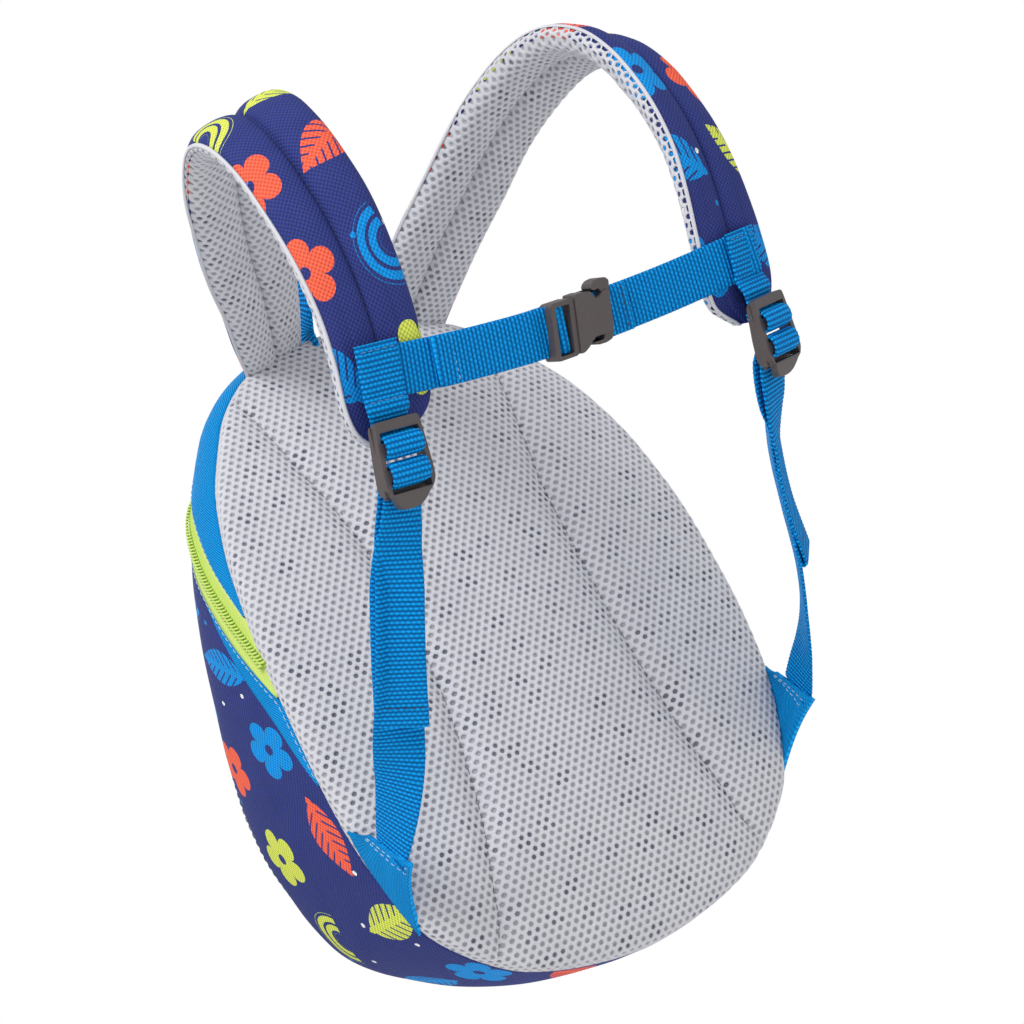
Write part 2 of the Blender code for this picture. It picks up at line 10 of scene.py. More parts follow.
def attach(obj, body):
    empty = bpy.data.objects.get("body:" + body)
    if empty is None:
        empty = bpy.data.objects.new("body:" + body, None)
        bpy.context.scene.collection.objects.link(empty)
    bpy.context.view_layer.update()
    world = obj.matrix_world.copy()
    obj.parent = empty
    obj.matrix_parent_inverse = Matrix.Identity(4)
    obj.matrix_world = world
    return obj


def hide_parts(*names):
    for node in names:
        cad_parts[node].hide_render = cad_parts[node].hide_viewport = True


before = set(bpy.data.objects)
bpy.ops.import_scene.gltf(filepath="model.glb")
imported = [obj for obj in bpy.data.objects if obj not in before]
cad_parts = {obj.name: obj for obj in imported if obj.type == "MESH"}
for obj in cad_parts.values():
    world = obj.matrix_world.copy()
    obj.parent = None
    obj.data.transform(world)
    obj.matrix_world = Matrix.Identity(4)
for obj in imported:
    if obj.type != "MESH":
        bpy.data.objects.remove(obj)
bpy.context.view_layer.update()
mm = 0.001

# The bag as worn: mesh panel towards -Y, printed front towards +Y, sizes in mm unless a name says otherwise
bag = dict(
    outlineHeight=[-139.5, -138.8, -137, -134, -129, -122, -113, -103, -90, -75, -58, -39, -19, 0, 20,
                   41, 58, 73, 88, 102, 110, 117.5, 126, 132.5, 137, 140.5, 143.2, 144.4],
    outlineWidth=[0, 12, 25, 39, 54, 66, 77, 86, 92, 97, 100.4, 102, 102.4, 102, 101.2,
                  98.6, 95.6, 91.2, 85.4, 77.3, 72.2, 67, 58.8, 50.5, 42.5, 34, 19, 0],
    edgeDepth=7.0, panelCurve=0.00085, flange=3.6,
    depth=102.0, corner=0.17, shift=16.0, poleDepth=14, topSlope=0.74,
    swellAngle=[0, 0.4, 0.6, 0.8, 1.0, 1.25, 1.6, 1.9, 2.3, 2.7, 3.15],
    swell=[0.056, 0.062, 0.076, 0.085, 0.085, 0.080, 0.067, 0.050, 0.034, 0.038, 0.045],
    coilSlope=0.49, coilDepth=4.0, tapeHalf=7.4, bandLeast=0.8,
    bandHeight=[-142, -60, -41, -26, -9, 10, 26, 40, 55, 82, 142],
    bandDepth=[8, 10, 12.6, 16.4, 20.3, 26, 31, 35.5, 40, 50, 75],
)
panel = dict(
    channelHeight=[-142, -122, -110, -98, -87, -71, -56, -38, -12, 15, 46, 57, 70, 81, 91, 99, 111, 122, 142],
    channelWidth=[70, 64, 59, 56, 53, 49, 46.5, 44, 42, 42, 43.5, 45.5, 48, 50.5, 52.5, 54, 56, 58, 64],
    padHeight=7.0, channelDrop=0.5, channelSpread=5.5,
    rings=46, spokes=192, steps=14, pressure=1.2, cap=2.5,
)
meshCloth = dict(pitch=3.7, row=2.75, holeWide=1.15, holeTall=1.12, deep=0.8, rim=0.16)
strapOuter = [(47.4, 29, 131), (50, 21, 135.5), (55, 8, 142), (60, -8, 148.5), (64, -20, 153), (69, -35, 158),
              (75.5, -56, 165), (82, -76, 168.5), (88.5, -97, 168.5), (92.5, -112, 163.5), (94.5, -123, 154),
              (95, -130.5, 140), (95, -134, 125), (95, -136, 110), (95, -136, 95), (95, -133.5, 80),
              (95.5, -128.5, 65), (96, -122, 52), (93.5, -117, 43.5), (87, -114, 37.5)]
strapInner = [(15.1, 31, 142), (16.5, 23, 146), (19.5, 8, 152.5), (23, -8, 158.5), (26.5, -21, 163), (31.5, -36, 168),
              (38.5, -58, 174.5), (45, -80, 178.5), (51.5, -102, 179), (56.5, -120, 174), (60, -134, 162),
              (61.5, -142, 147), (62, -146, 131), (62, -147.5, 116), (62, -146, 101), (61.5, -141.5, 86),
              (61, -135, 71), (61.5, -127, 56), (63.5, -120.5, 45.5), (74, -115.5, 38)]
strap = dict(cover=6.0, lining=5.6, seam=1.6, edge=0.8, stations=150, across=36,
             printShift=dict(left=(80.0, 120.0), right=(240.0, 40.0)),
             lap=dict(left=[0.8, 0.8, 3.2, 4.2, 4.6, 4.6], right=[1.0, 2.0, 5.4, 6.4, 6.0, 5.0]),
             outerShift=dict(left=[(0, -3.5, 0, 0), (0.12, -1.0, 0, 0), (0.22, 3.0, 0, 0), (0.34, 4.5, 0, 0.5),
                                   (0.44, 2.0, 0, 4.5), (0.58, 0.5, 0, 2), (0.72, 0.3, 0, 0), (1, 0, 0, 0)],
                             right=[(0, 0, 0, 0), (0.3, 0, 0, 0), (0.42, -1.2, 0, -1.2), (0.6, -1, 0, -1),
                                    (0.75, 0, 0, 0), (1, 0, 0, 0)]))
webbing = dict(rib=1.7)
view = dict(azimuth=-32.0, elevation=-15.9, roll=-28.0, target=(0.027, 0.010, 0.040), distance=0.975,
            focal=2400.0, image=1024.0)


def unit(vectors):
    vectors = np.asarray(vectors, float)
    return vectors / np.maximum(np.linalg.norm(vectors, axis=-1, keepdims=True), 1e-12)




def tableCurve(places, values):    # a smooth curve through a table, with no overshoot
    x, y = np.array(places, float), np.array(values, float)
    slope = np.diff(y) / np.diff(x)
    tangent = np.concatenate([[slope[0]], (slope[1:] + slope[:-1]) / 2, [slope[-1]]])
    turning = np.concatenate([[False], slope[1:] * slope[:-1] <= 0, [False]])
    tangent[turning] = 0

    def read(at):
        at = np.clip(at, x[0], x[-1])
        i = np.clip(np.searchsorted(x, at) - 1, 0, len(x) - 2)
        step = x[i + 1] - x[i]
        t = (at - x[i]) / step
        return ((2 * t ** 3 - 3 * t ** 2 + 1) * y[i] + (t ** 3 - 2 * t ** 2 + t) * step * tangent[i]
                + (3 * t ** 2 - 2 * t ** 3) * y[i + 1] + (t ** 3 - t ** 2) * step * tangent[i + 1])
    return read


def smoothPath(points, count):     # evenly spaced points on a smooth curve through the given ones
    points = np.array(points, float)
    ends = np.vstack([2 * points[0] - points[1], points, 2 * points[-1] - points[-2]])
    fine = []
    for i in range(1, len(ends) - 2):
        a, b, c, d = ends[i - 1:i + 3]
        for t in np.linspace(0, 1, 24, endpoint=False):
            fine.append(0.5 * (2 * b + (c - a) * t + (2 * a - 5 * b + 4 * c - d) * t * t
                               + (3 * b - a - 3 * c + d) * t ** 3))
    fine.append(ends[-2])
    fine = np.array(fine)
    run = np.concatenate([[0], np.cumsum(np.linalg.norm(np.diff(fine[:, :3], axis=0), axis=1))])
    at = np.linspace(0, run[-1], count)
    return np.stack([np.interp(at, run, fine[:, k]) for k in range(fine.shape[1])], -1)


def sampleGrid(grid, row, column):    # a grid of points read between its corners
    rows, columns = grid.shape[:2]
    row, column = np.clip(row, 0, rows - 1.0001), np.clip(column, 0, columns - 1.0001)
    i, j = row.astype(int), column.astype(int)
    a, b = (row - i)[..., None], (column - j)[..., None]
    return ((grid[i, j] * (1 - b) + grid[i, j + 1] * b) * (1 - a)
            + (grid[i + 1, j] * (1 - b) + grid[i + 1, j + 1] * b) * a)


def gridNormals(grid):
    along = np.gradient(grid, axis=0)
    across = np.gradient(grid, axis=1)
    return unit(np.cross(along, across))


def ripple(points, size, seed):    # soft noise from -1 to 1 at places given in metres
    return np.array([noise.noise(Vector(p) / size + Vector((seed, seed * 0.37, -seed))) for p in points])


def gridFaces(rows, columns, around=False):
    i, j = np.meshgrid(np.arange(rows - 1), np.arange(columns if around else columns - 1), indexing="ij")
    k = (j + 1) % columns
    return np.stack([i * columns + j, i * columns + k, (i + 1) * columns + k, (i + 1) * columns + j],
                    -1).reshape(-1, 4).tolist()


def makePiece(name, points, faces, uv=None, smooth=True, flip=False):
    mesh = bpy.data.meshes.new(name)
    if flip:
        faces = [tuple(reversed(face)) for face in faces]
    mesh.from_pydata(np.asarray(points, float).reshape(-1, 3).tolist(), [], faces)
    if uv is not None:
        corner = np.empty(len(mesh.loops), int)
        mesh.loops.foreach_get("vertex_index", corner)
        layer = mesh.uv_layers.new(name="millimetres")
        layer.data.foreach_set("uv", np.asarray(uv, float).reshape(-1, 2)[corner].ravel())
    mesh.polygons.foreach_set("use_smooth", [smooth] * len(mesh.polygons))
    mesh.update()
    piece = bpy.data.objects.new(name, mesh)
    bpy.context.scene.collection.objects.link(piece)
    return piece


def dress(piece, finish, slot, *nodes):    # gives a piece its finish and its place on the frame
    piece.data.materials.clear()
    piece.data.materials.append(finish)
    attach(piece, "root")
    if nodes:
        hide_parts(*nodes)
    return piece


def thicken(piece, thickness, offset=-1):
    wall = piece.modifiers.new("wall", "SOLIDIFY")
    wall.thickness = thickness * mm
    wall.offset = offset
    return wall


def mirrored(points):
    return np.asarray(points, float) * np.array([-1, 1, 1])


# Colours and the small function that every material is built with

def linear(code, alpha=1.0):    # sRGB hex to linear
    parts = [int(code[i:i + 2], 16) / 255 for i in (1, 3, 5)]
    return tuple(c / 12.92 if c <= 0.04045 else ((c + 0.055) / 1.055) ** 2.4 for c in parts) + (alpha,)


def addNode(tree, kind, *feeds, out=0, into=None, **settings):
    made = tree.nodes.new("ShaderNode" + kind)
    for key, value in settings.items():
        setattr(made, key, value)
    for key, value in list(enumerate(feeds)) + list((into or {}).items()):
        if isinstance(value, bpy.types.NodeSocket):
            tree.links.new(value, made.inputs[key])
        elif value is not None:
            made.inputs[key].default_value = value
    return made if out is None else made.outputs[out]


def newFinish(name, roughness=0.8, sheen=0.0, specular=0.5):
    finish = bpy.data.materials.new(name)
    finish.use_nodes = True
    shader = finish.node_tree.nodes["Principled BSDF"]
    shader.inputs["Roughness"].default_value = roughness
    shader.inputs["Specular IOR Level"].default_value = specular
    shader.inputs["Sheen Weight"].default_value = sheen
    shader.inputs["Sheen Roughness"].default_value = 0.5
    return finish, finish.node_tree, shader


def wire(tree, shader, colour=None, height=None, strength=0.5, distance=0.3, roughness=None):
    if colour is not None:
        tree.links.new(colour, shader.inputs["Base Color"])
    if roughness is not None:
        tree.links.new(roughness, shader.inputs["Roughness"])
    if height is not None:
        bump = addNode(tree, "Bump", strength, distance * mm, into={"Height": height})
        tree.links.new(bump, shader.inputs["Normal"])


def millimetres(tree):    # the piece's own flat coordinates, in mm
    place = addNode(tree, "UVMap", uv_map="millimetres")
    split = addNode(tree, "SeparateXYZ", place, out=None)
    return place, split.outputs[0], split.outputs[1]


def weaveHeight(tree, u, v, pitch):    # plain weave: warp and weft change over in a chequer
    warp = addNode(tree, "Math", addNode(tree, "Math", u, math.pi / pitch, operation="MULTIPLY"),
                   operation="SINE")
    weft = addNode(tree, "Math", addNode(tree, "Math", v, math.pi / pitch, operation="MULTIPLY"),
                   operation="SINE")
    both = addNode(tree, "Math", warp, weft, operation="MULTIPLY")
    return addNode(tree, "Math", both, operation="ABSOLUTE"), both


def mixColour(tree, factor, low, high):
    return addNode(tree, "Mix", factor, out=2, data_type="RGBA",
                   into={6: low, 7: high})


def spacerMesh():
    # knitted polyester spacer mesh: matte, light grey; its holes show the darker ground, and the colour is darkened
    # from rim to floor as painted shade where the holes fall into shadow
    finish, tree, shader = newFinish("polyesterSpacerMesh", 0.85, 0.1, 0.3)
    place, u, v = millimetres(tree)
    pit = addNode(tree, "Attribute", attribute_name="pit", out=2)
    dark = addNode(tree, "Attribute", attribute_name="dark", out=2)
    blotch = addNode(tree, "TexNoise", place, into={"Scale": 0.05, "Detail": 3.0})
    yarn = mixColour(tree, blotch, linear("#D2D2D8"), linear("#C2C2CA"))
    ground = mixColour(tree, dark, linear("#A3A4AC"), linear("#585B6E"))
    # pit runs from 0 on the knit to 1 at a hole's floor: it darkens the colour down into each hole as painted shade
    colour = mixColour(tree, pit, yarn, ground)
    strand = addNode(tree, "TexWave", place, wave_type="BANDS", bands_direction="X",
                     into={"Scale": 0.62, "Distortion": 2.5, "Detail": 2.0, "Detail Scale": 1.2})
    wire(tree, shader, colour, strand, 0.35, 0.12)
    return finish


def bluePolyester():
    # 600D twill polyester: the diagonal rib is drawn at 1.1 mm, coarse, so that it shows
    finish, tree, shader = newFinish("bluePolyesterTwill", 0.72, 0.0, 0.05)
    place, u, v = millimetres(tree)
    diagonal = addNode(tree, "Math", u, v, operation="ADD")
    twill = addNode(tree, "Math", addNode(tree, "Math", diagonal, 2 * math.pi / 1.6, operation="MULTIPLY"),
                    operation="SINE")
    cross = addNode(tree, "Math", addNode(tree, "Math", v, 2 * math.pi / 1.3, operation="MULTIPLY"),
                    operation="SINE")
    height = addNode(tree, "Math", twill, addNode(tree, "Math", cross, 0.4, operation="MULTIPLY"),
                     operation="ADD")
    # colour goes from dark in the twill's hollows to light on its ribs: painted shade and highlight on the relief
    shade = addNode(tree, "MapRange", height, -1.4, 1.4, 0.0, 1.0)
    colour = mixColour(tree, shade, linear("#0070C2"), linear("#20B2FF"))
    wire(tree, shader, colour, height, 1.0, 0.25)
    return finish


def motifPlace(tree, place, cell, seed, jitter):
    # one random place and turn in each cell of a grid: local x and y, distance, angle and two random numbers
    moved = addNode(tree, "VectorMath", place, (seed * 13.7, seed * 7.3, 0), operation="ADD")
    scaled = addNode(tree, "VectorMath", moved, (1 / cell, 1 / cell, 0), operation="MULTIPLY")
    cellId = addNode(tree, "VectorMath", scaled, operation="FLOOR")
    inside = addNode(tree, "VectorMath", scaled, operation="FRACTION")
    random = addNode(tree, "TexWhiteNoise", cellId, out=None, noise_dimensions="3D")
    pick = addNode(tree, "TexWhiteNoise", cellId, noise_dimensions="4D", into={"W": seed + 2.0})
    spread = addNode(tree, "VectorMath", random.outputs["Color"], (0.5, 0.5, 0.5), operation="SUBTRACT")
    push = addNode(tree, "VectorMath", spread, (jitter, jitter, 0), operation="MULTIPLY")
    centred = addNode(tree, "VectorMath", inside, (0.5, 0.5, 0), operation="SUBTRACT")
    local = addNode(tree, "VectorMath", centred, push, operation="SUBTRACT")
    grain = addNode(tree, "SeparateColor", random.outputs["Color"], out=None)
    turn = addNode(tree, "Math", grain.outputs[2], 2 * math.pi, operation="MULTIPLY")
    spun = addNode(tree, "VectorRotate", rotation_type="Z_AXIS", into={"Vector": local, "Angle": turn})
    part = addNode(tree, "SeparateXYZ", spun, out=None)
    x, y = part.outputs[0], part.outputs[1]
    radius = addNode(tree, "VectorMath", addNode(tree, "CombineXYZ", x, y, 0.0), operation="LENGTH", out=1)
    angle = addNode(tree, "Math", y, x, operation="ARCTAN2")
    return x, y, radius, angle, grain.outputs[1], pick


def frondMask(tree, x, y, size):    # a leaf outline with slanting leaflets cut into it
    across = addNode(tree, "Math", x, operation="ABSOLUTE")
    arch = addNode(tree, "Math", addNode(tree, "Math", y, math.pi / (2 * size), operation="MULTIPLY"),
                   operation="COSINE")
    body = addNode(tree, "Math", across, addNode(tree, "Math", arch, size * 0.5, operation="MULTIPLY"),
                   operation="LESS_THAN")
    near = addNode(tree, "Math", addNode(tree, "Math", y, operation="ABSOLUTE"), size, operation="LESS_THAN")
    slant = addNode(tree, "Math", y, addNode(tree, "Math", across, 0.8, operation="MULTIPLY"),
                    operation="SUBTRACT")
    comb = addNode(tree, "Math", addNode(tree, "Math", slant, 4.2 / size, operation="MULTIPLY"),
                   operation="FRACT")
    leaflet = addNode(tree, "Math", comb, 0.25, operation="GREATER_THAN")
    stalk = addNode(tree, "Math", across, size * 0.09, operation="LESS_THAN")
    cut = addNode(tree, "Math", leaflet, stalk, operation="MAXIMUM")
    return addNode(tree, "Math", addNode(tree, "Math", body, near, operation="MULTIPLY"), cut,
                   operation="MULTIPLY")


def starMask(tree, radius, angle, points, inner, size, sharp, hole):    # petals or points round a hole
    wave = addNode(tree, "Math", addNode(tree, "Math", angle, points / 2, operation="MULTIPLY"),
                   operation="COSINE")
    petal = addNode(tree, "Math", addNode(tree, "Math", wave, operation="ABSOLUTE"), sharp, operation="POWER")
    reach = addNode(tree, "Math", addNode(tree, "Math", petal, size * (1 - inner), operation="MULTIPLY"),
                    size * inner, operation="ADD")
    outer = addNode(tree, "Math", radius, reach, operation="LESS_THAN")
    return addNode(tree, "Math", outer, addNode(tree, "Math", radius, hole, operation="GREATER_THAN"),
                   operation="MULTIPLY")


def archMask(tree, radius, y, size):    # three bands of a rainbow
    comb = addNode(tree, "Math", addNode(tree, "Math", radius, 3.4 / size, operation="MULTIPLY"),
                   operation="FRACT")
    bands = addNode(tree, "Math", comb, 0.32, operation="GREATER_THAN")
    ring = addNode(tree, "Math", radius, size * 0.64, size * 0.35, operation="COMPARE")
    above = addNode(tree, "Math", y, -size * 0.1, operation="GREATER_THAN")
    return addNode(tree, "Math", addNode(tree, "Math", bands, ring, operation="MULTIPLY"), above,
                   operation="MULTIPLY")


def printedPolyester(name, cell):
    # navy 600D plain weave, screen printed: the inks lie in the weave, so they share its threads; ground and inks alike
    # are darkened in the weave's hollows and lightened on its crests as painted shade and highlight
    finish, tree, shader = newFinish(name, 0.78, 0.0, 0.15)
    place, u, v = millimetres(tree)
    lime, coral, blue, white = linear("#D3DE5C"), linear("#F2644A"), linear("#0C8DDC"), linear("#EFEFF2")
    ground = addNode(tree, "TexNoise", place, into={"Scale": 0.08, "Detail": 2.0})
    colour = mixColour(tree, ground, linear("#2B3675"), linear("#343D7F"))
    x, y, radius, angle, chance, pick = motifPlace(tree, place, cell * 0.5, 7.9, 0.5)
    dot = addNode(tree, "Math", starMask(tree, radius, angle, 3, 1.0, 0.055, 1.0, 0.0),
                  addNode(tree, "Math", chance, 0.28, operation="LESS_THAN"), operation="MULTIPLY")
    colour = mixColour(tree, dot, colour, mixColour(
        tree, addNode(tree, "Math", pick, 0.5, operation="GREATER_THAN"), white, blue))
    x, y, radius, angle, chance, pick = motifPlace(tree, place, cell, 1.0, 0.14)
    masks = [(frondMask(tree, x, y, 0.43), 0.19), (starMask(tree, radius, angle, 5, 0.5, 0.33, 0.5, 0.06), 0.18),
             (archMask(tree, radius, y, 0.38), 0.15), (starMask(tree, radius, angle, 7, 0.42, 0.34, 1.6, 0.0), 0.14)]
    whole, low = None, 0.0
    for mask, share in masks:
        chosen = addNode(tree, "Math", chance, low + share, share, operation="COMPARE")
        part = addNode(tree, "Math", mask, chosen, operation="MULTIPLY")
        whole = part if whole is None else addNode(tree, "Math", whole, part, operation="MAXIMUM")
        low += 2 * share
    ink = mixColour(tree, addNode(tree, "Math", pick, 0.36, operation="GREATER_THAN"), lime, coral)
    ink = mixColour(tree, addNode(tree, "Math", pick, 0.70, operation="GREATER_THAN"), ink, blue)
    colour = mixColour(tree, whole, colour, ink)
    lift, over = weaveHeight(tree, u, v, 1.0)
    # the weave's crests are lightened and its hollows darkened: painted highlight and shade
    thread = addNode(tree, "MapRange", over, -0.8, 0.8, 0.62, 1.26)
    shaded = addNode(tree, "VectorMath", colour, operation="SCALE", into={"Scale": thread})
    wire(tree, shader, shaded, over, 0.6, 0.25)
    return finish


def webbingPolyester():
    # polyester webbing: a weft rib across every 1.7 mm over closely packed warp threads, slightly lustrous
    finish, tree, shader = newFinish("bluePolyesterWebbing", 0.6, 0.0, 0.06)
    place, u, v = millimetres(tree)
    rib = addNode(tree, "Math", addNode(tree, "Math", v, 2 * math.pi / webbing["rib"], operation="MULTIPLY"),
                  operation="COSINE")
    half = addNode(tree, "Math", addNode(tree, "Math", v, math.pi / webbing["rib"], operation="MULTIPLY"),
                   operation="COSINE")
    warp = addNode(tree, "Math", addNode(tree, "Math", u, 2 * math.pi / 1.9, operation="MULTIPLY"),
                   operation="COSINE")
    knots = addNode(tree, "Math", half, warp, operation="MULTIPLY")
    fluff = addNode(tree, "TexNoise", place, into={"Scale": 1.4, "Detail": 3.0})
    height = addNode(tree, "Math", rib, addNode(tree, "Math", knots, 0.75, operation="MULTIPLY"),
                     operation="ADD")
    rough = addNode(tree, "Math", height, addNode(tree, "Math", fluff, 1.6, operation="MULTIPLY"), operation="ADD")
    # colour follows the ribs' height, darker between them and lighter on them, as painted shade and highlight; the
    # fluff adds random tone
    shade = addNode(tree, "MapRange", rough, -0.6, 2.3, 0.0, 1.0)
    colour = mixColour(tree, shade, linear("#00407F"), linear("#10A6F8"))
    wire(tree, shader, colour, rough, 0.8, 0.22)
    return finish


def zipTapeFinish():
    # woven zip tape: fine herringbone, drawn at 1 mm
    finish, tree, shader = newFinish("limeZipTape", 0.75, 0.0, 0.2)
    place, u, v = millimetres(tree)
    lift, over = weaveHeight(tree, u, v, 0.8)
    shade = addNode(tree, "MapRange", over, -1.0, 1.0, 0.0, 1.0)
    colour = mixColour(tree, shade, linear("#B4CC58"), linear("#D2E384"))
    wire(tree, shader, colour, lift, 0.35, 0.12)
    return finish


def nylonCoil(name, dark, light):
    finish, tree, shader = newFinish(name, 0.42)
    grain = addNode(tree, "TexNoise", into={"Scale": 900.0, "Detail": 2.0})
    colour = mixColour(tree, grain, linear(dark), linear(light))
    wire(tree, shader, colour, grain, 0.1, 0.05)
    return finish


def acetal(name="mouldedAcetal", dark="#3C3536", light="#5A5253"):
    # injection-moulded acetal with a fine spark-eroded texture: satin, dark brown grey
    finish, tree, shader = newFinish(name, 0.42)
    shader.inputs["IOR"].default_value = 1.48
    grit = addNode(tree, "TexNoise", into={"Scale": 1600.0, "Detail": 3.0})
    broad = addNode(tree, "TexNoise", into={"Scale": 60.0, "Detail": 2.0})
    colour = mixColour(tree, broad, linear(dark), linear(light))
    rough = addNode(tree, "MapRange", grit, 0.3, 0.7, 0.36, 0.5)
    wire(tree, shader, colour, grit, 0.12, 0.05, rough)
    return finish


def thread(name, code):
    finish, tree, shader = newFinish(name, 0.6, 0.3)
    grain = addNode(tree, "TexNoise", into={"Scale": 2500.0, "Detail": 1.0})
    colour = mixColour(tree, grain, linear(code), tuple(c * 0.7 for c in linear(code)[:3]) + (1.0,))
    wire(tree, shader, colour, grain, 0.3, 0.05)
    return finish


meshFinish = spacerMesh()
blueFinish = bluePolyester()
printFinish = printedPolyester("navyPrintedPolyester", 40.0)
webbingFinish = webbingPolyester()
tapeFinish = zipTapeFinish()
coilFinish = nylonCoil("limeNylonCoil", "#B7D35A", "#CCE376")
cordFinish = nylonCoil("limeCoilCord", "#A9C64E", "#B8D45E")
acetalFinish = acetal()
blueThread = thread("bluePolyesterThread", "#2A86C9")
paleThread = thread("paleBlueThread", "#B9D3EA")
greyThread = thread("greyPolyesterThread", "#6E7079")
navyThread = thread("navyPolyesterThread", "#23284F")
print("materials made")


# The bag's outline and surface

outlineAngle = np.arctan2(bag["outlineWidth"], -np.array(bag["outlineHeight"], float))
outlineRadius = tableCurve(outlineAngle, np.hypot(bag["outlineWidth"], bag["outlineHeight"]) * mm)
channelWidth = tableCurve(np.array(panel["channelHeight"]) * mm, np.array(panel["channelWidth"]) * mm)
swellCurve = tableCurve(bag["swellAngle"], bag["swell"])
bandLine = tableCurve(np.array(bag["bandHeight"]) * mm, np.array(bag["bandDepth"]) * mm)


def rimRadius(angle):    # distance of the sewn edge from the origin; angle 0 is straight down
    return outlineRadius(np.abs((np.asarray(angle) + math.pi) % (2 * math.pi) - math.pi))


def edgeDepth(z):
    return bag["edgeDepth"] * mm + bag["panelCurve"] * 1000 * (z - 0.005) ** 2


def bodyPoint(angle, travel):    # outside of the bag; travel 0 is the rim by the panel, 1 the front middle
    angle, travel = np.broadcast_arrays(np.asarray(angle, float), np.asarray(travel, float))
    turn = travel * math.pi / 2
    scale = np.maximum(np.cos(turn), 0) ** bag["corner"]
    rise = np.sin(turn)
    radius = rimRadius(angle)
    rimZ = -radius * np.cos(angle)
    swell = swellCurve(np.abs((angle + math.pi) % (2 * math.pi) - math.pi))
    x = radius * np.sin(angle) * scale * (1 + swell * np.sin(2 * turn))
    z = rimZ * scale + bag["shift"] * mm * rise
    lean = (z + 0.02) / 0.16
    slope = 1 - bag["topSlope"] * np.minimum(0.5 * (lean + np.sqrt(lean ** 2 + 0.004)), 1.3)
    rim = edgeDepth(rimZ)
    rim = rim + (bag["poleDepth"] * mm - rim) * rise ** 12    # the rim's curve fades out towards the front middle
    y = rim + (bag["flange"] + 0.3) * mm + bag["depth"] * mm * rise * slope
    return np.stack([x, y, z], -1)


travels = np.concatenate([np.linspace(0, 0.9, 181), 2 / math.pi * np.arccos(np.linspace(
    math.cos(0.45 * math.pi) ** 0.17, 0, 60) ** (1 / 0.17))[1:]])


def travelWhere(angles, distance):    # first travel at which distance(point) passes zero, for each angle
    value = distance(bodyPoint(angles[:, None], travels[None, :]))
    found = []
    for line in value:
        past = np.nonzero(line >= 0)[0]
        if len(past) == 0:
            found.append(1.0)
        elif past[0] == 0:
            found.append(0.0)
        else:
            k = past[0]
            found.append(travels[k - 1] + (travels[k] - travels[k - 1]) * line[k - 1] / (line[k - 1] - line[k]))
    return np.array(found)


def coilDistance(p):
    return (p[..., 1] - bag["coilSlope"] * p[..., 2] - bag["coilDepth"] * mm) / math.hypot(1, bag["coilSlope"])


def bandDistance(p):
    return (p[..., 1] - bandLine(p[..., 2])) / 1.06


def bodyStrip(angles, lows, highs, rows):    # a grid on the bag's surface between two travels
    share = np.linspace(0, 1, rows)[:, None]
    return bodyPoint(angles[None, :], lows[None, :] + (highs - lows)[None, :] * share)


def stripSizes(grid):    # flat coordinates in mm: along the strip, then across it
    along = np.concatenate([[0], np.cumsum(np.linalg.norm(np.diff(grid[len(grid) // 2], axis=0), axis=-1))])
    across = np.concatenate([np.zeros((1, grid.shape[1])),
                             np.cumsum(np.linalg.norm(np.diff(grid, axis=0), axis=-1), axis=0)])
    return np.stack([np.broadcast_to(along[None, :], across.shape), across], -1) / mm


def stitches(name, path, normals, finish, slot, length=2.6, space=0.9, radius=0.26, lift=0.12):
    # a row of thread stitches laid on a path, each a small pillow that dips at both ends
    path, normals = np.asarray(path, float), unit(normals)
    run = np.concatenate([[0], np.cumsum(np.linalg.norm(np.diff(path, axis=0), axis=1))])
    count = int(run[-1] / mm / (length + space))
    points, faces = [], []
    for n in range(count):
        start = (n + 0.2) * (length + space) * mm
        base = len(points)
        for share, size, height in ((0, 0.35, -0.15), (0.18, 0.9, 0.05), (0.5, 1, 0.12), (0.82, 0.9, 0.05),
                                    (1, 0.35, -0.15)):
            at = start + share * length * mm
            here = np.array([np.interp(at, run, path[:, k]) for k in range(3)])
            ahead = np.array([np.interp(at + 0.4 * mm, run, path[:, k]) for k in range(3)]) - here
            up = unit([np.interp(at, run, normals[:, k]) for k in range(3)])
            side = unit(np.cross(ahead, up))
            for turn in np.arange(6) * math.pi / 3:
                points.append(here + up * (height + lift) * mm + (side * math.cos(turn)
                              + up * math.sin(turn) * 0.8) * radius * size * mm)
        for ring in range(4):
            for k in range(6):
                a, b = base + ring * 6 + k, base + ring * 6 + (k + 1) % 6
                faces.append((a, b, b + 6, a + 6))
        faces.append(tuple(base + k for k in reversed(range(6))))
        faces.append(tuple(base + 24 + k for k in range(6)))
    return dress(makePiece(name, points, faces), finish, slot)


# The padded back panel: a pad blown up by cloth simulation between its sewn lines, then knitted over

def padProfile(share, z=0.0):    # drop of the pad from its crest, as a share of its height; softer at the top
    power = 7 - 3.6 * np.clip(z / (110 * mm), 0, 1)
    return 1 - np.sqrt(np.maximum(1 - share ** power, 0))


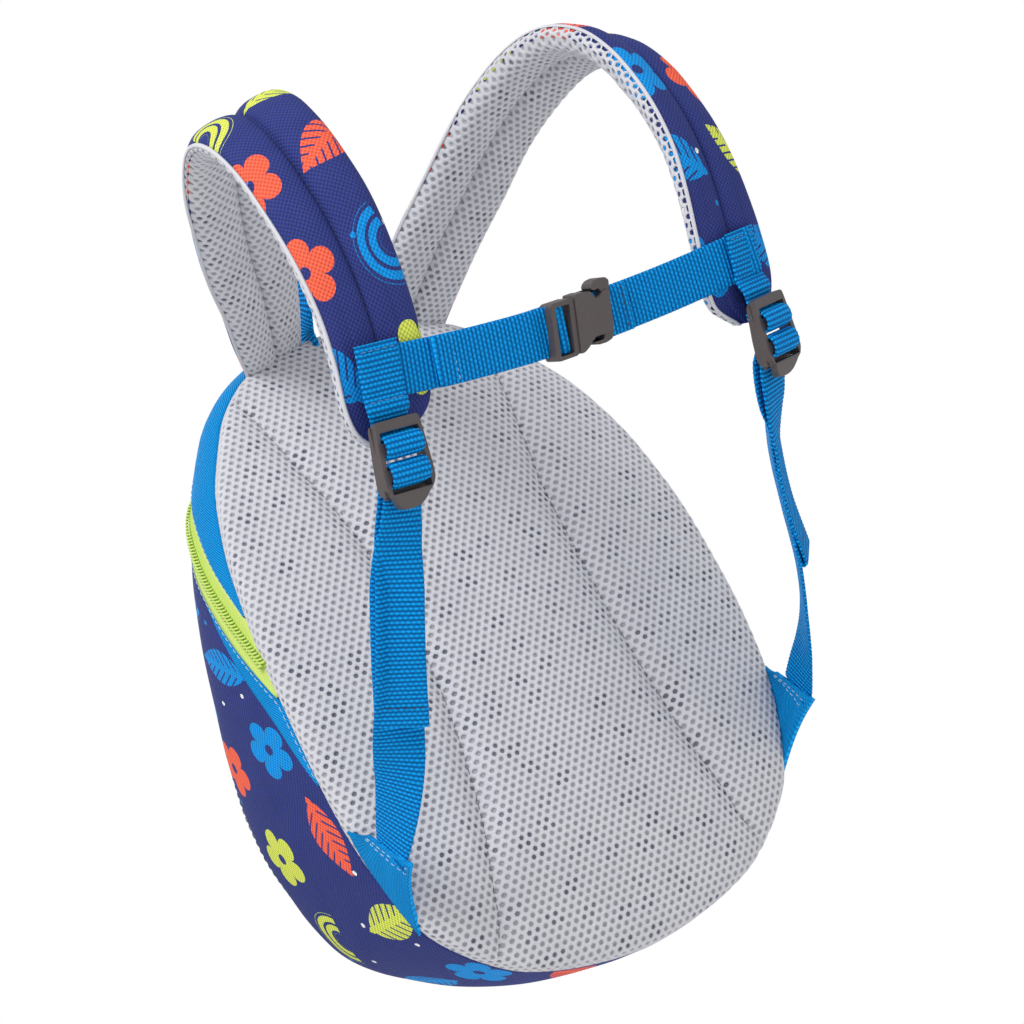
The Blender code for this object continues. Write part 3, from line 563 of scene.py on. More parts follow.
def buildPad():
    shares = np.concatenate([np.linspace(0, 0.9, panel["rings"] - 10), np.linspace(0.9, 1, 11)[1:]])
    angles = np.linspace(0, 2 * math.pi, panel["spokes"] + 1)[:-1]
    radius = rimRadius(angles)[None, :] * shares[:, None]
    x, z = radius * np.sin(angles), -radius * np.cos(angles)
    toChannel = np.abs(np.abs(x) - channelWidth(z)) / mm
    pressed = panel["channelDrop"] * np.exp(-(toChannel / panel["channelSpread"]) ** 2)
    y = edgeDepth(z) - panel["padHeight"] * mm * (1 - padProfile(shares[:, None], z)) * (1 - pressed)
    grid = np.stack([x, y, z], -1)
    rows, columns = grid.shape[:2]
    pad = makePiece("padForm", grid, gridFaces(rows, columns, around=True))
    hold = np.exp(-(toChannel / 1.6) ** 2) + (shares[:, None] > 0.985)
    group = pad.vertex_groups.new(name="sewn")
    for index, weight in enumerate(np.clip(hold, 0, 1).ravel()):
        group.add([index], float(weight), "REPLACE")
    cloth = pad.modifiers.new("blown up", "CLOTH")
    cloth.settings.vertex_group_mass = "sewn"
    cloth.settings.use_pressure = True
    cloth.settings.uniform_pressure_force = panel["pressure"]
    cloth.settings.effector_weights.gravity = 0
    cloth.settings.shrink_min = -0.03
    cloth.settings.tension_stiffness = 12
    cloth.settings.bending_stiffness = 0.6
    cloth.settings.quality = 5
    cloth.point_cache.frame_end = panel["steps"]
    for step in range(1, panel["steps"] + 1):
        bpy.context.scene.frame_set(step)
    grown = pad.evaluated_get(bpy.context.evaluated_depsgraph_get()).to_mesh()
    moved = np.empty(rows * columns * 3)
    grown.vertices.foreach_get("co", moved)
    moved = moved.reshape(grid.shape) - grid
    size = np.linalg.norm(moved, axis=-1, keepdims=True)
    cap = panel["cap"] * mm
    moved *= np.minimum(1, cap / np.maximum(size, 1e-9))
    bpy.context.scene.frame_set(1)
    bpy.data.objects.remove(pad, do_unlink=True)
    print("pad simulated, largest move", round(float(size.max() / mm), 1), "mm")
    return shares, angles, grid + moved


def netCells(width, height):    # the column and row numbers of the staggered cells that cover the given half sizes in mm; knitNet shares their corners and gives each hole a rim and a floor ring
    return (np.arange(-int(width / meshCloth["pitch"]) - 1, int(width / meshCloth["pitch"]) + 2),
            np.arange(-int(height / meshCloth["row"]) - 1, int(height / meshCloth["row"]) + 2))


def knitNet(name, span, inside, place):
    # span: half sizes in mm; inside(u, v) keeps a cell; place(u, v, depth) puts flat mm points in space
    pitch, row = meshCloth["pitch"], meshCloth["row"]
    corners, flat, faces, pit, dark, number = {}, [], [], [], [], 0
    columns, rows = netCells(*span)
    for j in rows:
        for i in columns:
            cu, cv = (i + 0.5 * (j % 2)) * pitch, j * row
            if not inside(cu, cv):
                continue
            block = noise.cell_vector(Vector((i // 4 + 0.5, j // 4 + 0.5, 4.5)))
            group = 0 <= i % 4 - int(block.x * 3) <= 1 and 0 <= j % 4 - int(block.y * 3) <= 1
            shade = 0.4 + block.z * 0.6 if group and block.z < 0.75 else 0.0
            outer, rim, floor = [], [], []
            for k, (du, dv) in enumerate(((3, 1), (0, 2), (-3, 1), (-3, -1), (0, -2), (3, -1))):
                key = (round(cu / pitch * 6) + du, round(cv / row * 3) + dv)
                if key not in corners:
                    corners[key] = len(flat)
                    flat.append((key[0] * pitch / 6, key[1] * row / 3, 0.0))
                    pit.append(0.0)
                    dark.append(0.0)
                outer.append(corners[key])
                angle = math.atan2(dv * row / 3, du * pitch / 6)
                # the last number of each ring is its pit value, which the mesh finish turns into painted shade down the
                # hole
                for ring, size, deep, low in ((rim, 1.0, meshCloth["rim"], 0.12),
                                              (floor, 0.84, meshCloth["deep"], 1.0)):
                    ring.append(len(flat))
                    flat.append((cu + meshCloth["holeWide"] * size * math.cos(angle),
                                 cv + meshCloth["holeTall"] * size * math.sin(angle), deep))
                    pit.append(low)
                    dark.append(shade)
            for k in range(6):
                m = (k + 1) % 6
                faces.append((outer[k], outer[m], rim[m], rim[k]))
                faces.append((rim[k], rim[m], floor[m], floor[k]))
            faces.append(tuple(floor))
    flat = np.array(flat)
    points = place(flat[:, 0], flat[:, 1], flat[:, 2])
    piece = makePiece(name, points, faces, flat[:, :2])
    for key, values in (("pit", pit), ("dark", dark)):
        piece.data.attributes.new(key, "FLOAT", "POINT").data.foreach_set("value", values)
    print(name, len(faces), "faces")
    return piece


def buildPanel():
    shares, angles, grid = buildPad()
    grid = np.concatenate([grid, grid[:, :1]], axis=1)
    normals = gridNormals(grid)
    normals = np.where(normals[..., 1:2] > 0.3, -normals, normals)
    outward = np.stack([np.sin(np.append(angles, 2 * math.pi)), np.zeros(len(angles) + 1),
                        -np.cos(np.append(angles, 2 * math.pi))], -1)
    normals[0] = (0, -1, 0)
    normals[-1] = outward
    # the knit runs over the edge without stretching: its flat radius is the arc length over the pad
    fineShare = np.linspace(0, 1, 400)
    drop = panel["padHeight"] * padProfile(fineShare)
    arc = np.concatenate([[0], np.cumsum(np.hypot(np.diff(fineShare) * 115, np.diff(drop)))])
    reach = arc[-1] / 115
    flange = bag["flange"]
    spokes = len(angles)

    def split(u, v):
        angle = np.arctan2(u, -v) % (2 * math.pi)
        radius = np.hypot(u, v)
        edge = rimRadius(angle) / mm
        return angle, radius, edge

    def inside(u, v):
        angle, radius, edge = split(np.array(u), np.array(v))
        return bool(radius < edge * reach + flange + 1.4)

    def place(u, v, depth):
        angle, radius, edge = split(u, v)
        share = np.interp(radius / edge * 115, arc, fineShare)
        over = np.clip(radius - edge * reach, 0, flange)
        row = np.interp(share, shares, np.arange(len(shares)))
        column = angle / (2 * math.pi) * spokes
        here = sampleGrid(grid, row, column)
        up = unit(sampleGrid(normals, row, column))
        x, z = here[:, 0], here[:, 2]
        line = np.abs(np.abs(x) - channelWidth(z)) / mm
        dip = 1.1 * np.exp(-(line / 1.1) ** 2) * (share < 0.985)
        here = here - up * (depth + dip)[:, None] * mm
        here[:, 1] += over * mm
        return here

    net = knitNet("back_panel_mesh", (125, 160), inside, place)
    dress(net, meshFinish, "spacer_mesh", "back_panel")
    for side in (-1, 1):
        z = np.linspace(-119, 122, 160) * mm
        x = side * channelWidth(z)
        angle = np.arctan2(x, -z) % (2 * math.pi)
        share = np.minimum(np.hypot(x, z) / rimRadius(angle), 1)
        keep = share < 0.985
        row = np.interp(share, shares, np.arange(len(shares)))
        path = sampleGrid(grid, row, angle / (2 * math.pi) * spokes)[keep]
        path[:, 1] += 1.1 * mm
        stitches("channel_stitches_" + ("right" if side > 0 else "left"), path,
                 np.tile([0, -1, 0], (len(path), 1)), greyThread, "spacer_mesh", radius=0.2)
    return grid


panelGrid = buildPanel()
print("back panel made")


# Gusset, zip and printed body

def buildBag():
    angles = np.linspace(0, 2 * math.pi, 361)[:-1]
    upper = travelWhere(angles, lambda p: coilDistance(p) + bag["tapeHalf"] * mm)
    lower = travelWhere(angles, lambda p: coilDistance(p) - bag["tapeHalf"] * mm)
    band = travelWhere(angles, lambda p: np.minimum(
        coilDistance(p) - (bag["tapeHalf"] + bag["bandLeast"]) * mm, bandDistance(p)))
    middle = (upper + lower) / 2

    def strip(name, lows, highs, rows, puff, finish, slot, node, wall):
        height = np.linalg.norm(bodyPoint(angles, highs) - bodyPoint(angles, lows), axis=-1)
        keep = height > 0.5 * mm
        grid = bodyStrip(angles[keep], lows[keep], highs[keep], rows)
        normals = gridNormals(grid)
        share = np.linspace(-1, 1, rows)[:, None, None]
        full = np.minimum(height[keep] / (14 * mm), 1)[None, :, None]
        grid = grid + normals * puff * mm * (1 - np.abs(share) ** 3) * full
        piece = makePiece(name, grid, gridFaces(*grid.shape[:2]), stripSizes(grid), flip=True)
        dress(piece, finish, slot, node)
        thicken(piece, wall)
        return grid, normals

    zero = np.zeros(len(angles))
    gusset, gussetNormals = strip("blue_gusset", zero, upper, 14, 1.0, blueFinish, "blue_polyester",
                                  "upper_gusset", 1.2)
    strip("zip_tape_cloth", upper, lower, 9, -0.5, tapeFinish, "zip_tape", "zip_tape", 0.8)
    bandGrid, bandNormals = strip("blue_band", lower, band, 8, 0.8, blueFinish, "blue_polyester",
                                  "lower_zip_band", 1.2)
    # topstitching beside the zip, on both fabrics
    for name, grid, normals, at in (("gusset_topstitch", gusset, gussetNormals, -0.13),
                                    ("band_topstitch", bandGrid, bandNormals, 0.13)):
        rows = grid.shape[0]
        row = np.full(grid.shape[1], (rows - 1) * (1 + at if at < 0 else at))
        column = np.arange(grid.shape[1], dtype=float)
        stitches(name, sampleGrid(grid, row, column), sampleGrid(normals, row, column), paleThread,
                 "blue_polyester", radius=0.2)
    # coil: two rows of nylon loops that mesh along the middle of the tape, sewn on with a cord
    centre = travelWhere(angles, coilDistance)
    keep = np.convolve(centre > 0, [1, 1, 1], "same") > 0
    path = bodyPoint(angles[keep], centre[keep])
    ahead = unit(np.gradient(path, axis=0))
    across = unit(bodyPoint(angles[keep], centre[keep] + 0.01) - path)
    normals = unit(np.cross(across, ahead))
    if np.sum(normals * (path - path.mean(axis=0))) < 0:
        normals = -normals
    bed = np.stack([path + (across * s + normals * n) * mm for s, n in
                    ((-3.1, -0.9), (-2.9, 0.0), (-2.2, 0.35), (0, 0.45), (2.2, 0.35), (2.9, 0.0), (3.1, -0.9))])
    dress(makePiece("zip_coil_bed", bed, gridFaces(*bed.shape[:2]), stripSizes(bed)), cordFinish, "zip_coil")
    run = np.concatenate([[0], np.cumsum(np.linalg.norm(np.diff(path, axis=0), axis=1))])
    pitch = 1.9 * mm
    points, faces = [], []
    for n in range(int(run[-1] / pitch)):
        for side, shift in ((-1, 0.25), (1, 0.75)):
            at = (n + shift) * pitch
            here = np.array([np.interp(at, run, path[:, k]) for k in range(3)])
            a = unit([np.interp(at, run, ahead[:, k]) for k in range(3)])
            s = unit([np.interp(at, run, across[:, k]) for k in range(3)])
            n3 = unit([np.interp(at, run, normals[:, k]) for k in range(3)])
            base = len(points)
            for reach, rise in ((2.7, 0.3), (2.5, 1.1), (1.2, 1.6), (0.0, 1.6), (-0.7, 1.0)):
                middlePoint = here + s * side * reach * mm + n3 * rise * mm
                for turn in np.arange(6) * math.pi / 3:
                    points.append(middlePoint + (a * math.cos(turn) + n3 * math.sin(turn) * 0.9) * 0.56 * mm)
            for ring in range(4):
                for k in range(6):
                    p, q = base + ring * 6 + k, base + ring * 6 + (k + 1) % 6
                    faces.append((p, q, q + 6, p + 6))
            faces.append(tuple(base + k for k in reversed(range(6))))
            faces.append(tuple(base + 24 + k for k in range(6)))
    dress(makePiece("zip_teeth", points, faces), coilFinish, "zip_coil", "zip_coil")

    # printed body: the sides run from the band to a rounded edge, the front closes it
    dense = []
    for k, angle in enumerate(angles):
        line = bodyPoint(angle, band[k] + (1 - band[k]) * np.concatenate([
            np.linspace(0, 0.8, 60), 2 / math.pi * np.arccos(np.linspace(
                math.cos(0.4 * math.pi) ** 0.17, 0, 60) ** (1 / 0.17))[1:]]))
        run = np.concatenate([[0], np.cumsum(np.linalg.norm(np.diff(line, axis=0), axis=1))])
        at = np.linspace(0, run[-1], 90)
        dense.append(np.stack([np.interp(at, run, line[:, c]) for c in range(3)], -1))
    body = np.array(dense).transpose(1, 0, 2)
    normals = gridNormals(body)
    normals *= np.sign(np.sum(normals * (body - body.mean(axis=(0, 1)))))
    swell = ripple(body.reshape(-1, 3), 0.055, 3.1).reshape(body.shape[:2])
    fold = ripple(body.reshape(-1, 3) * np.array([1, 0.35, 1]), 0.018, 8.4).reshape(body.shape[:2])
    fade = np.minimum(np.linspace(0, 1, 90) / 0.08, 1)[:, None] * np.minimum(
        np.linspace(1, 0, 90) / 0.05, 1)[:, None]
    body = body + normals * ((swell * 1.6 + fold * 0.45) * fade * mm)[..., None]
    rows, columns = body.shape[:2]
    closed = np.concatenate([body, body[:, :1]], axis=1)
    side = np.concatenate([[0], np.cumsum(np.linalg.norm(np.diff(closed[20], axis=0), axis=-1))])
    down = np.concatenate([np.zeros((1, columns)), np.cumsum(np.linalg.norm(np.diff(body, axis=0), axis=-1),
                                                             axis=0)])
    faces = gridFaces(rows, columns, around=True)
    piece = makePiece("printed_body", body, faces, flip=True)
    layer = piece.data.uv_layers.new(name="millimetres")
    front = np.abs(normals[..., 1]) > 0.75
    frontRow = np.median(np.argmax(front, axis=0)).astype(int)
    index = 0
    uv = np.empty((len(piece.data.loops), 2))
    for polygon in piece.data.polygons:
        for loop in polygon.loop_indices:
            r, c = divmod(piece.data.loops[loop].vertex_index, columns)
            rows0 = min(polygon.vertices) // columns
            if rows0 >= frontRow:
                uv[loop] = body[r, c, 0] / mm + 400, body[r, c, 2] / mm
            else:
                wrapped = c == 0 and columns - 1 in [v % columns for v in polygon.vertices]
                uv[loop] = (side[-1] if wrapped else side[c]) / mm, down[r, c] / mm
    layer.data.foreach_set("uv", uv.ravel())
    dress(piece, printFinish, "printed_polyester", "body_shell")
    thicken(piece, 1.0)
    seam = body[frontRow]
    stitches("front_seam_stitches", np.vstack([seam, seam[:1]]), np.vstack([normals[frontRow],
             normals[frontRow][:1]]), navyThread, "printed_polyester", radius=0.22)
    return body


bodyGrid = buildBag()
print("gusset, zip and body made")


# Shoulder straps, and the values of the harness that hangs on them

harness = dict(width=19.0, chestWidth=17.8, thick=1.5, rib=1.7, ribHeight=0.2, tilt=0.03,
               lockTop=dict(left=(83.6, -128.9, 40.6), right=(82.4, -128.9, 40.6)), lockDown=(0.05, 0.40, -0.915),
               lockSide=dict(left=(0.989, -0.11, 0.106), right=(0.965, 0.25, 0.06)),
               tailSide=dict(left=(0.817, 0.359, 0.451), right=(0.725, 0.677, 0.131)),
               tail=dict(left=[(89.3, -97.6, 4.0), (92.7, -77.0, -18.5), (93.8, -53.6, -42.0)],
                         right=[(82.5, -92.5, -2.6), (86.6, -75.4, -21.0), (93.2, -61.1, -38.0)]),
               loadSide=dict(left=(0.52, 0.66, 0.54), right=(0.55, 0.80, 0.25)),
               loadSway=dict(left=[0.8, 2.0, 0.8, 0, 0, 0], right=[1.5, 3.4, 1.9, -1.7, -3.0, 0]),
               turnAt=dict(left=[0, 0.2, 0.6, 1], right=[0, 0.34, 0.85, 1]),
               swayAlong=dict(left=(-0.817, -0.359, -0.451), right=(0.817, -0.359, -0.451)),
               tabNear=(98.0, 2.5, -63.3), tabFar=(95.5, -14.5, -82.9), fold=9.0)


def setInPlace(points, side):    # mirrors the left side and gives the worn harness its slight tilt
    points = mirrored(points) if side == "left" else np.array(points, float)
    forward = np.clip((-points[..., 1] - 20 * mm) / (90 * mm), 0, 1)
    points[..., 2] += harness["tilt"] * points[..., 0] * forward ** 2 * (3 - 2 * forward)
    return points


def strapGrids(side):
    outer = smoothPath(strapOuter, strap["stations"])
    shift = np.array(strap["outerShift"][side], float)
    for k in range(3):
        outer[:, k] += tableCurve(shift[:, 0], shift[:, 1 + k])(np.linspace(0, 1, len(outer)))
    outer = outer * mm
    inner = smoothPath(strapInner, strap["stations"]) * mm
    along = unit(np.gradient(outer + inner, axis=0))
    across = unit(outer - inner)
    normal = unit(np.cross(along, across))
    share = np.linspace(0, 1, 2 * strap["across"] + 1)
    tube = np.abs(4 * np.where(share <= 0.5, share, 1 - share) - 1)
    bump = np.sqrt(np.maximum(1 - tube ** 2.4, 0))
    grids = {}
    run = np.linspace(0, 1, strap["stations"])
    fullness = np.minimum(1, np.minimum(0.3 + 9 * run, 0.2 + 2.4 * (1 - run)))
    for layer, height, sign in (("cover", strap["cover"], 1), ("lining", strap["lining"], -1)):
        low = np.where(np.abs(share - 0.5) < 0.25, strap["seam"], strap["edge"])
        rise = low[None, :] + (height - low[None, :]) * bump[None, :] * fullness[:, None]
        grid = (inner[:, None] + (outer - inner)[:, None] * share[None, :, None]
                + normal[:, None] * rise[..., None] * sign * mm)
        pucker = ripple(grid.reshape(-1, 3), 0.009, 2.0 + sign).reshape(grid.shape[:2])
        sewn = 1 - np.abs(tube) ** 2
        grid = grid + normal[:, None] * (pucker * 0.35 * sewn[None, :] * sign * mm)[..., None]
        grids[layer] = grid
    return grids


def buildStraps():
    forms = {}
    for side in ("left", "right"):
        grids = strapGrids(side)
        cover = forms[side] = setInPlace(grids["cover"], side)
        facing = gridNormals(cover) * (-1 if side == "left" else 1)
        lining = setInPlace(grids["lining"], side)
        # the print is folded round both edges to the seam
        out = unit(cover[:, -1:] - cover[:, :1]) * mm
        printed = np.concatenate([lining[:, :1] - out * 0.25, (lining[:, :1] + cover[:, :1]) / 2 - out * 0.5, cover,
                                 (lining[:, -1:] + cover[:, -1:]) / 2 + out * 0.5, lining[:, -1:] + out * 0.25],
                                axis=1)
        sizes = stripSizes(printed)
        sizes[..., 1] = sizes[..., 1].mean(axis=1, keepdims=True)    # the print runs straight down the strap
        sizes += np.array(strap["printShift"][side])
        piece = makePiece("strap_printed" + side, printed, gridFaces(*printed.shape[:2]), sizes, flip=side == "right")
        dress(piece, printFinish, "printed_polyester", "strap_cover_" + side)
        thicken(piece, 0.6)
        rows, columns = lining.shape[:2]
        length = np.linalg.norm(np.diff(lining[:, columns // 2], axis=0), axis=1).sum() / mm
        wide = np.median(np.linalg.norm(np.diff(lining, axis=1), axis=-1).sum(axis=1)) / mm
        # towards the camera the mesh runs on round the seam and over the edge of the print, in even steps
        turn = np.concatenate([lining[:, :1], lining[:, :1] - out * 0.9, cover[:, :1] - out * 0.9 + facing[:, :1] * 0.2 * mm,
                               cover[:, 1:16] + facing[:, 1:16] * 0.45 * mm], axis=1)
        if side == "left":
            turn = np.concatenate([lining[:, -1:], lining[:, -1:] + out * 0.9, cover[:, -1:] + out * 0.9
                                   + facing[:, -1:] * 0.2 * mm, cover[:, -2:-17:-1] + facing[:, -2:-17:-1] * 0.45 * mm],
                                  axis=1)
        step = wide / (columns - 1) * mm
        more = []
        for line in turn:
            run = np.concatenate([[0], np.cumsum(np.linalg.norm(np.diff(line, axis=0), axis=1))])
            more.append([[np.interp(k * step, run, line[:, c]) for c in range(3)] for k in range(1, 17)])
        more = np.array(more)
        whole = np.concatenate([lining, more] if side == "left" else [more[:, ::-1], lining], axis=1)
        normals = gridNormals(whole) * (1 if side == "left" else -1)
        lapWidth = tableCurve([0, 0.3, 0.42, 0.55, 0.75, 1], strap["lap"][side])

        def inside(u, v):
            u = u if side == "left" else -u
            return -wide / 2 - 1.2 < u < wide / 2 + float(lapWidth(v / length + 0.5)) + 0.9 and abs(v) < length / 2 + 1

        def place(u, v, depth):
            row = (np.clip(v / length + 0.5, 0, 1)) * (rows - 1)
            u = u if side == "left" else -u
            reach = np.clip(u, -wide / 2, wide / 2 + lapWidth(np.clip(v / length + 0.5, 0, 1)))
            column = (reach / wide + 0.5) * (columns - 1)
            column = column if side == "left" else whole.shape[1] - 1 - column
            here = sampleGrid(whole, row, column)
            return here - unit(sampleGrid(normals, row, column)) * depth[:, None] * mm

        net = knitNet("strap_mesh_" + side, (wide / 2 + 4, length / 2 + 4), inside, place)
        dress(net, meshFinish, "spacer_mesh", "strap_lining_" + side)
        # the cut edge of the mesh is turned under, a small roll along the print
        fold = []
        row = np.arange(rows, dtype=float)
        for shift, height in ((-1.0, 0.0), (-0.7, 0.3), (-0.2, 0.4), (0.2, 0.3), (0.5, -0.3)):
            column = ((wide / 2 + lapWidth(row / (rows - 1)) + shift) / wide + 0.5) * (columns - 1)
            column = column if side == "left" else whole.shape[1] - 1 - column
            fold.append(sampleGrid(whole, row, column)
                        + unit(sampleGrid(normals, row, column)) * height * mm)
        fold = np.array(fold).transpose(1, 0, 2)
        piece = makePiece("strap_fold_" + side, fold, gridFaces(*fold.shape[:2]), stripSizes(fold))
        dress(piece, meshFinish, "spacer_mesh")
        thicken(piece, 0.25, offset=0)
        middle = cover.shape[1] // 2
        stitches("strap_stitches_" + side, cover[4:-14, middle] + facing[4:-14, middle] * 0.1 * mm,
                 facing[4:-14, middle], navyThread, "printed_polyester", radius=0.22)
    return forms


strapForms = buildStraps()
print("shoulder straps made")

# Harness: webbing, ladder locks, tabs and buckle, laid out for the right side

chest = dict(end=75.0, y=-132.4, z=55.9, back=3.0, sag=3.0, lean=0.58, tilt=0.0394, buckleLean=0.10)


def ribbonPiece(name, stations, width, finish, slot, node, side=None, thick=None, ribs=True):
    # webbing: a flat band with rounded selvedges and a raised rib every 1.7 mm; a seventh station value is its width
    stations = np.array(stations, float)
    length = np.linalg.norm(np.diff(stations[:, :3], axis=0), axis=1).sum()
    rows = int(length / (harness["rib"] / 5))
    path = smoothPath(stations, rows)
    widths = path[:, 6:7] if stations.shape[1] > 6 else np.full((rows, 1), float(width))
    along = unit(np.gradient(path[:, :3], axis=0))
    across = path[:, 3:6] - along * np.sum(path[:, 3:6] * along, axis=1, keepdims=True)
    across = unit(across)
    up = np.cross(along, across)
    run = np.concatenate([[0], np.cumsum(np.linalg.norm(np.diff(path[:, :3], axis=0), axis=1))])
    rib = 0.5 + 0.5 * np.cos(2 * math.pi * run / harness["rib"])
    share = np.linspace(-1, 1, 25)
    edge = np.sqrt(1 - np.abs(share) ** 7 * 0.86)
    beads = 0.8 + 0.2 * np.cos(2 * math.pi * share * width / 2 / 2.2)
    rise = (thick or harness["thick"]) / 2 * edge[None, :] + (
        harness["ribHeight"] * (rib[:, None] - 0.6) * beads[None, :] if ribs else 0)
    wide = share[None, :] * (widths / 2 + 0.12 * (rib[:, None] - 0.5))
    top = path[:, None, :3] + across[:, None] * wide[..., None] + up[:, None] * rise[..., None]
    bottom = path[:, None, :3] + across[:, None] * wide[..., None] - up[:, None] * rise[..., None]
    ring = np.concatenate([top, bottom[:, ::-1]], axis=1)
    count = ring.shape[1]
    points = ring * mm
    if side:
        points = setInPlace(points, side)
    uv = np.stack([np.broadcast_to(np.concatenate([share, share[::-1]]) * width / 2, (rows, count)),
                   np.broadcast_to(run[:, None], (rows, count))], -1)
    faces = gridFaces(rows, count, around=True)
    faces += [tuple(range(count))[::-1], tuple((rows - 1) * count + k for k in range(count))]
    piece = makePiece(name, points, faces, uv, flip=side != "left")
    dress(piece, finish, slot, *([node] if node else []))
    return path, across, up


def lockFrame(side):
    down = unit(harness["lockDown"])
    across = np.array(harness["lockSide"][side], float)
    across = unit(across - down * np.dot(across, down))
    return np.array(harness["lockTop"][side]), down, across, unit(np.cross(down, across))


def inLock(side, u, n, s=0.0):    # mm down the lock, out from its middle plane and sideways
    top, down, across, normal = lockFrame(side)
    if normal[1] > 0:
        normal = -normal
    return top + down * u + normal * n + across * s


def platePiece(outline, holes, low, high, put, bevel=0.4):
    # a flat shape with holes, pushed through from low to high and placed by put(a, b, n)
    loops = [list(outline)] + [list(hole) for hole in holes]
    flat = [point for loop in loops for point in loop]
    triangles = tessellate_polygon([[Vector((a, b, 0)) for a, b in loop] for loop in loops])
    count = len(flat)
    points = [(a, b, high) for a, b in flat] + [(a, b, low) for a, b in flat]
    faces = [tuple(t) for t in triangles] + [tuple(k + count for k in reversed(t)) for t in triangles]
    start = 0
    for loop in loops:
        for k in range(len(loop)):
            a, b = start + k, start + (k + 1) % len(loop)
            faces.append((a, b, b + count, a + count))
        start += len(loop)
    mesh = bpy.data.meshes.new("plate")
    mesh.from_pydata([list(put(*point)) for point in points], [], faces)
    work = bmesh.new()
    work.from_mesh(mesh)
    bmesh.ops.recalc_face_normals(work, faces=work.faces)
    work.to_mesh(mesh)
    work.free()
    return mesh


def joined(name, meshes, finish, slot, *nodes, bevel=0.4):
    work = bmesh.new()
    for mesh in meshes:
        work.from_mesh(mesh)
    whole = bpy.data.meshes.new(name)
    work.to_mesh(whole)
    work.free()
    whole.polygons.foreach_set("use_smooth", [True] * len(whole.polygons))
    piece = bpy.data.objects.new(name, whole)
    bpy.context.scene.collection.objects.link(piece)
    dress(piece, finish, slot, *nodes)
    edge = piece.modifiers.new("moulded edges", "BEVEL")
    edge.width = bevel * mm
    edge.segments = 3
    edge.limit_method = "ANGLE"
    edge.angle_limit = math.radians(35)
    edge.harden_normals = True
    return piece


def rounded(corners, radius, steps=5):    # a closed outline with every corner rounded
    corners = [np.array(c, float) for c in corners]
    line = []
    for k, here in enumerate(corners):
        before, after = corners[k - 1] - here, corners[(k + 1) % len(corners)] - here
        reach = min(radius, 0.45 * np.linalg.norm(before), 0.45 * np.linalg.norm(after))
        start, end = here + unit(before) * reach, here + unit(after) * reach
        for t in np.linspace(0, 1, steps):
            line.append(tuple((1 - t) ** 2 * start + 2 * t * (1 - t) * here + t * t * end))
    return line


def buildLocks():
    frameHalf = [(-9.0, 0.2), (9.0, 0.2), (9.5, 6), (10.1, 19), (10.0, 22.6), (8.4, 25.2), (7.2, 26.4), (6.4, 28.2),
                 (4.8, 30.4), (2.0, 31.6), (-2.0, 31.6), (-4.8, 30.4), (-6.4, 28.2), (-7.2, 26.4), (-8.4, 25.2),
                 (-10.0, 22.6), (-10.1, 19), (-9.5, 6)]
    windows = [[(-7.9, low), (7.9, low), (8.2, high), (-8.2, high)]
               for low, high in ((3.8, 7.6), (11.6, 16.6), (20.6, 24.9))]
    for side in ("left", "right"):
        def put(s, u, n):
            bent = max(u - 25.4, 0)
            return setInPlace(inLock(side, u - bent * 0.1, n - bent * 0.5 + 0.012 * u * (s / 10) ** 2, s) * mm, side)

        plates = [platePiece(rounded(frameHalf, 1.6), [rounded(w, 0.7) for w in windows], -1.5, 1.5, put)]
        for edge in (-1, 1):
            def putRail(u, n, s):
                return put(edge * s, u, n)

            rail = [(0.8, -1.2), (2.2, -2.6), (14, -4.6), (21.4, -5.4), (24.6, -4.6), (25.4, -1.2)]
            plates.append(platePiece(rounded(rail, 0.8), [], 8.4, 9.75, putRail))
        # a rear shelf of the lock, set behind the lowest window as a dark backing that stands in for the shade seen
        # through it
        rearShelfShade = [(-8.8, 20.2), (8.8, 20.2), (8.6, 26.4), (-8.6, 26.4)]
        plates.append(platePiece(rounded(rearShelfShade, 0.6), [], -4.2, -3.0, put))
        joined("ladder_lock_body_" + side, plates, acetalFinish, "acetal", "ladder_lock_" + side, bevel=0.35)


def coverHeight(side, origin, along, out, across, places, placed=False):
    # how far the strap's cover stands out from an axis, at places in mm along it
    cover = strapForms[side] if placed or side == "right" else mirrored(strapForms[side])
    local = cover.reshape(-1, 3) / mm - origin
    u, n, s = local @ along, local @ out, local @ across
    near = np.abs(s) < 8.5
    return [float(np.max(n[near & (np.abs(u - at) < 1.8)], initial=-9.0)) for at in places]


def buildAnchorWebbing(side):
    top, down, across, normal = lockFrame(side)
    lying = np.arange(-26.0, -5.0, 3.0)
    normal = normal if normal[1] < 0 else -normal
    rest = [height + harness["thick"] / 2 + 1.7 for height in coverHeight(side, top, down, normal, across, lying)]
    path = list(zip(lying, rest))
    path += [(-3.4, rest[-1] * 0.3 - 1.2), (-0.6, -2.9), (3.4, -3.0), (5.0, -1.9), (5.7, 0.4), (6.2, 2.3), (7.6, 3.2),
             (9.4, 3.5), (11.2, 3.2), (12.4, 1.8), (12.7, -0.4), (12.1, -2.5), (10.6, -4.0), (8, -4.8), (4.5, -4.9)]
    stations = [np.concatenate([inLock(side, u, n), across, [17.2 if u < -2 else 15.4]]) for u, n in path]
    ribbonPiece("strap_end_webbing_" + side, stations, harness["width"], webbingFinish, "webbing",
                "anchor_webbing_" + side, side)
    # a box of stitches holds it on the strap
    rows = []
    for u, s0, s1 in ((-23.5, -7.5, 7.5), (-6.5, -7.5, 7.5)):
        height = np.interp(u, lying, rest) + harness["thick"] / 2
        rows.append([inLock(side, u, height, s) for s in np.linspace(s0, s1, 12)])
    for k, row in enumerate(rows):
        points = setInPlace(np.array(row) * mm, side)
        stitches("strap_end_stitches_%d_%s" % (k, side), points, np.tile(-np.abs(normal), (12, 1)), blueThread,
                 "webbing", length=2.2, space=0.7, radius=0.24, lift=0.05)


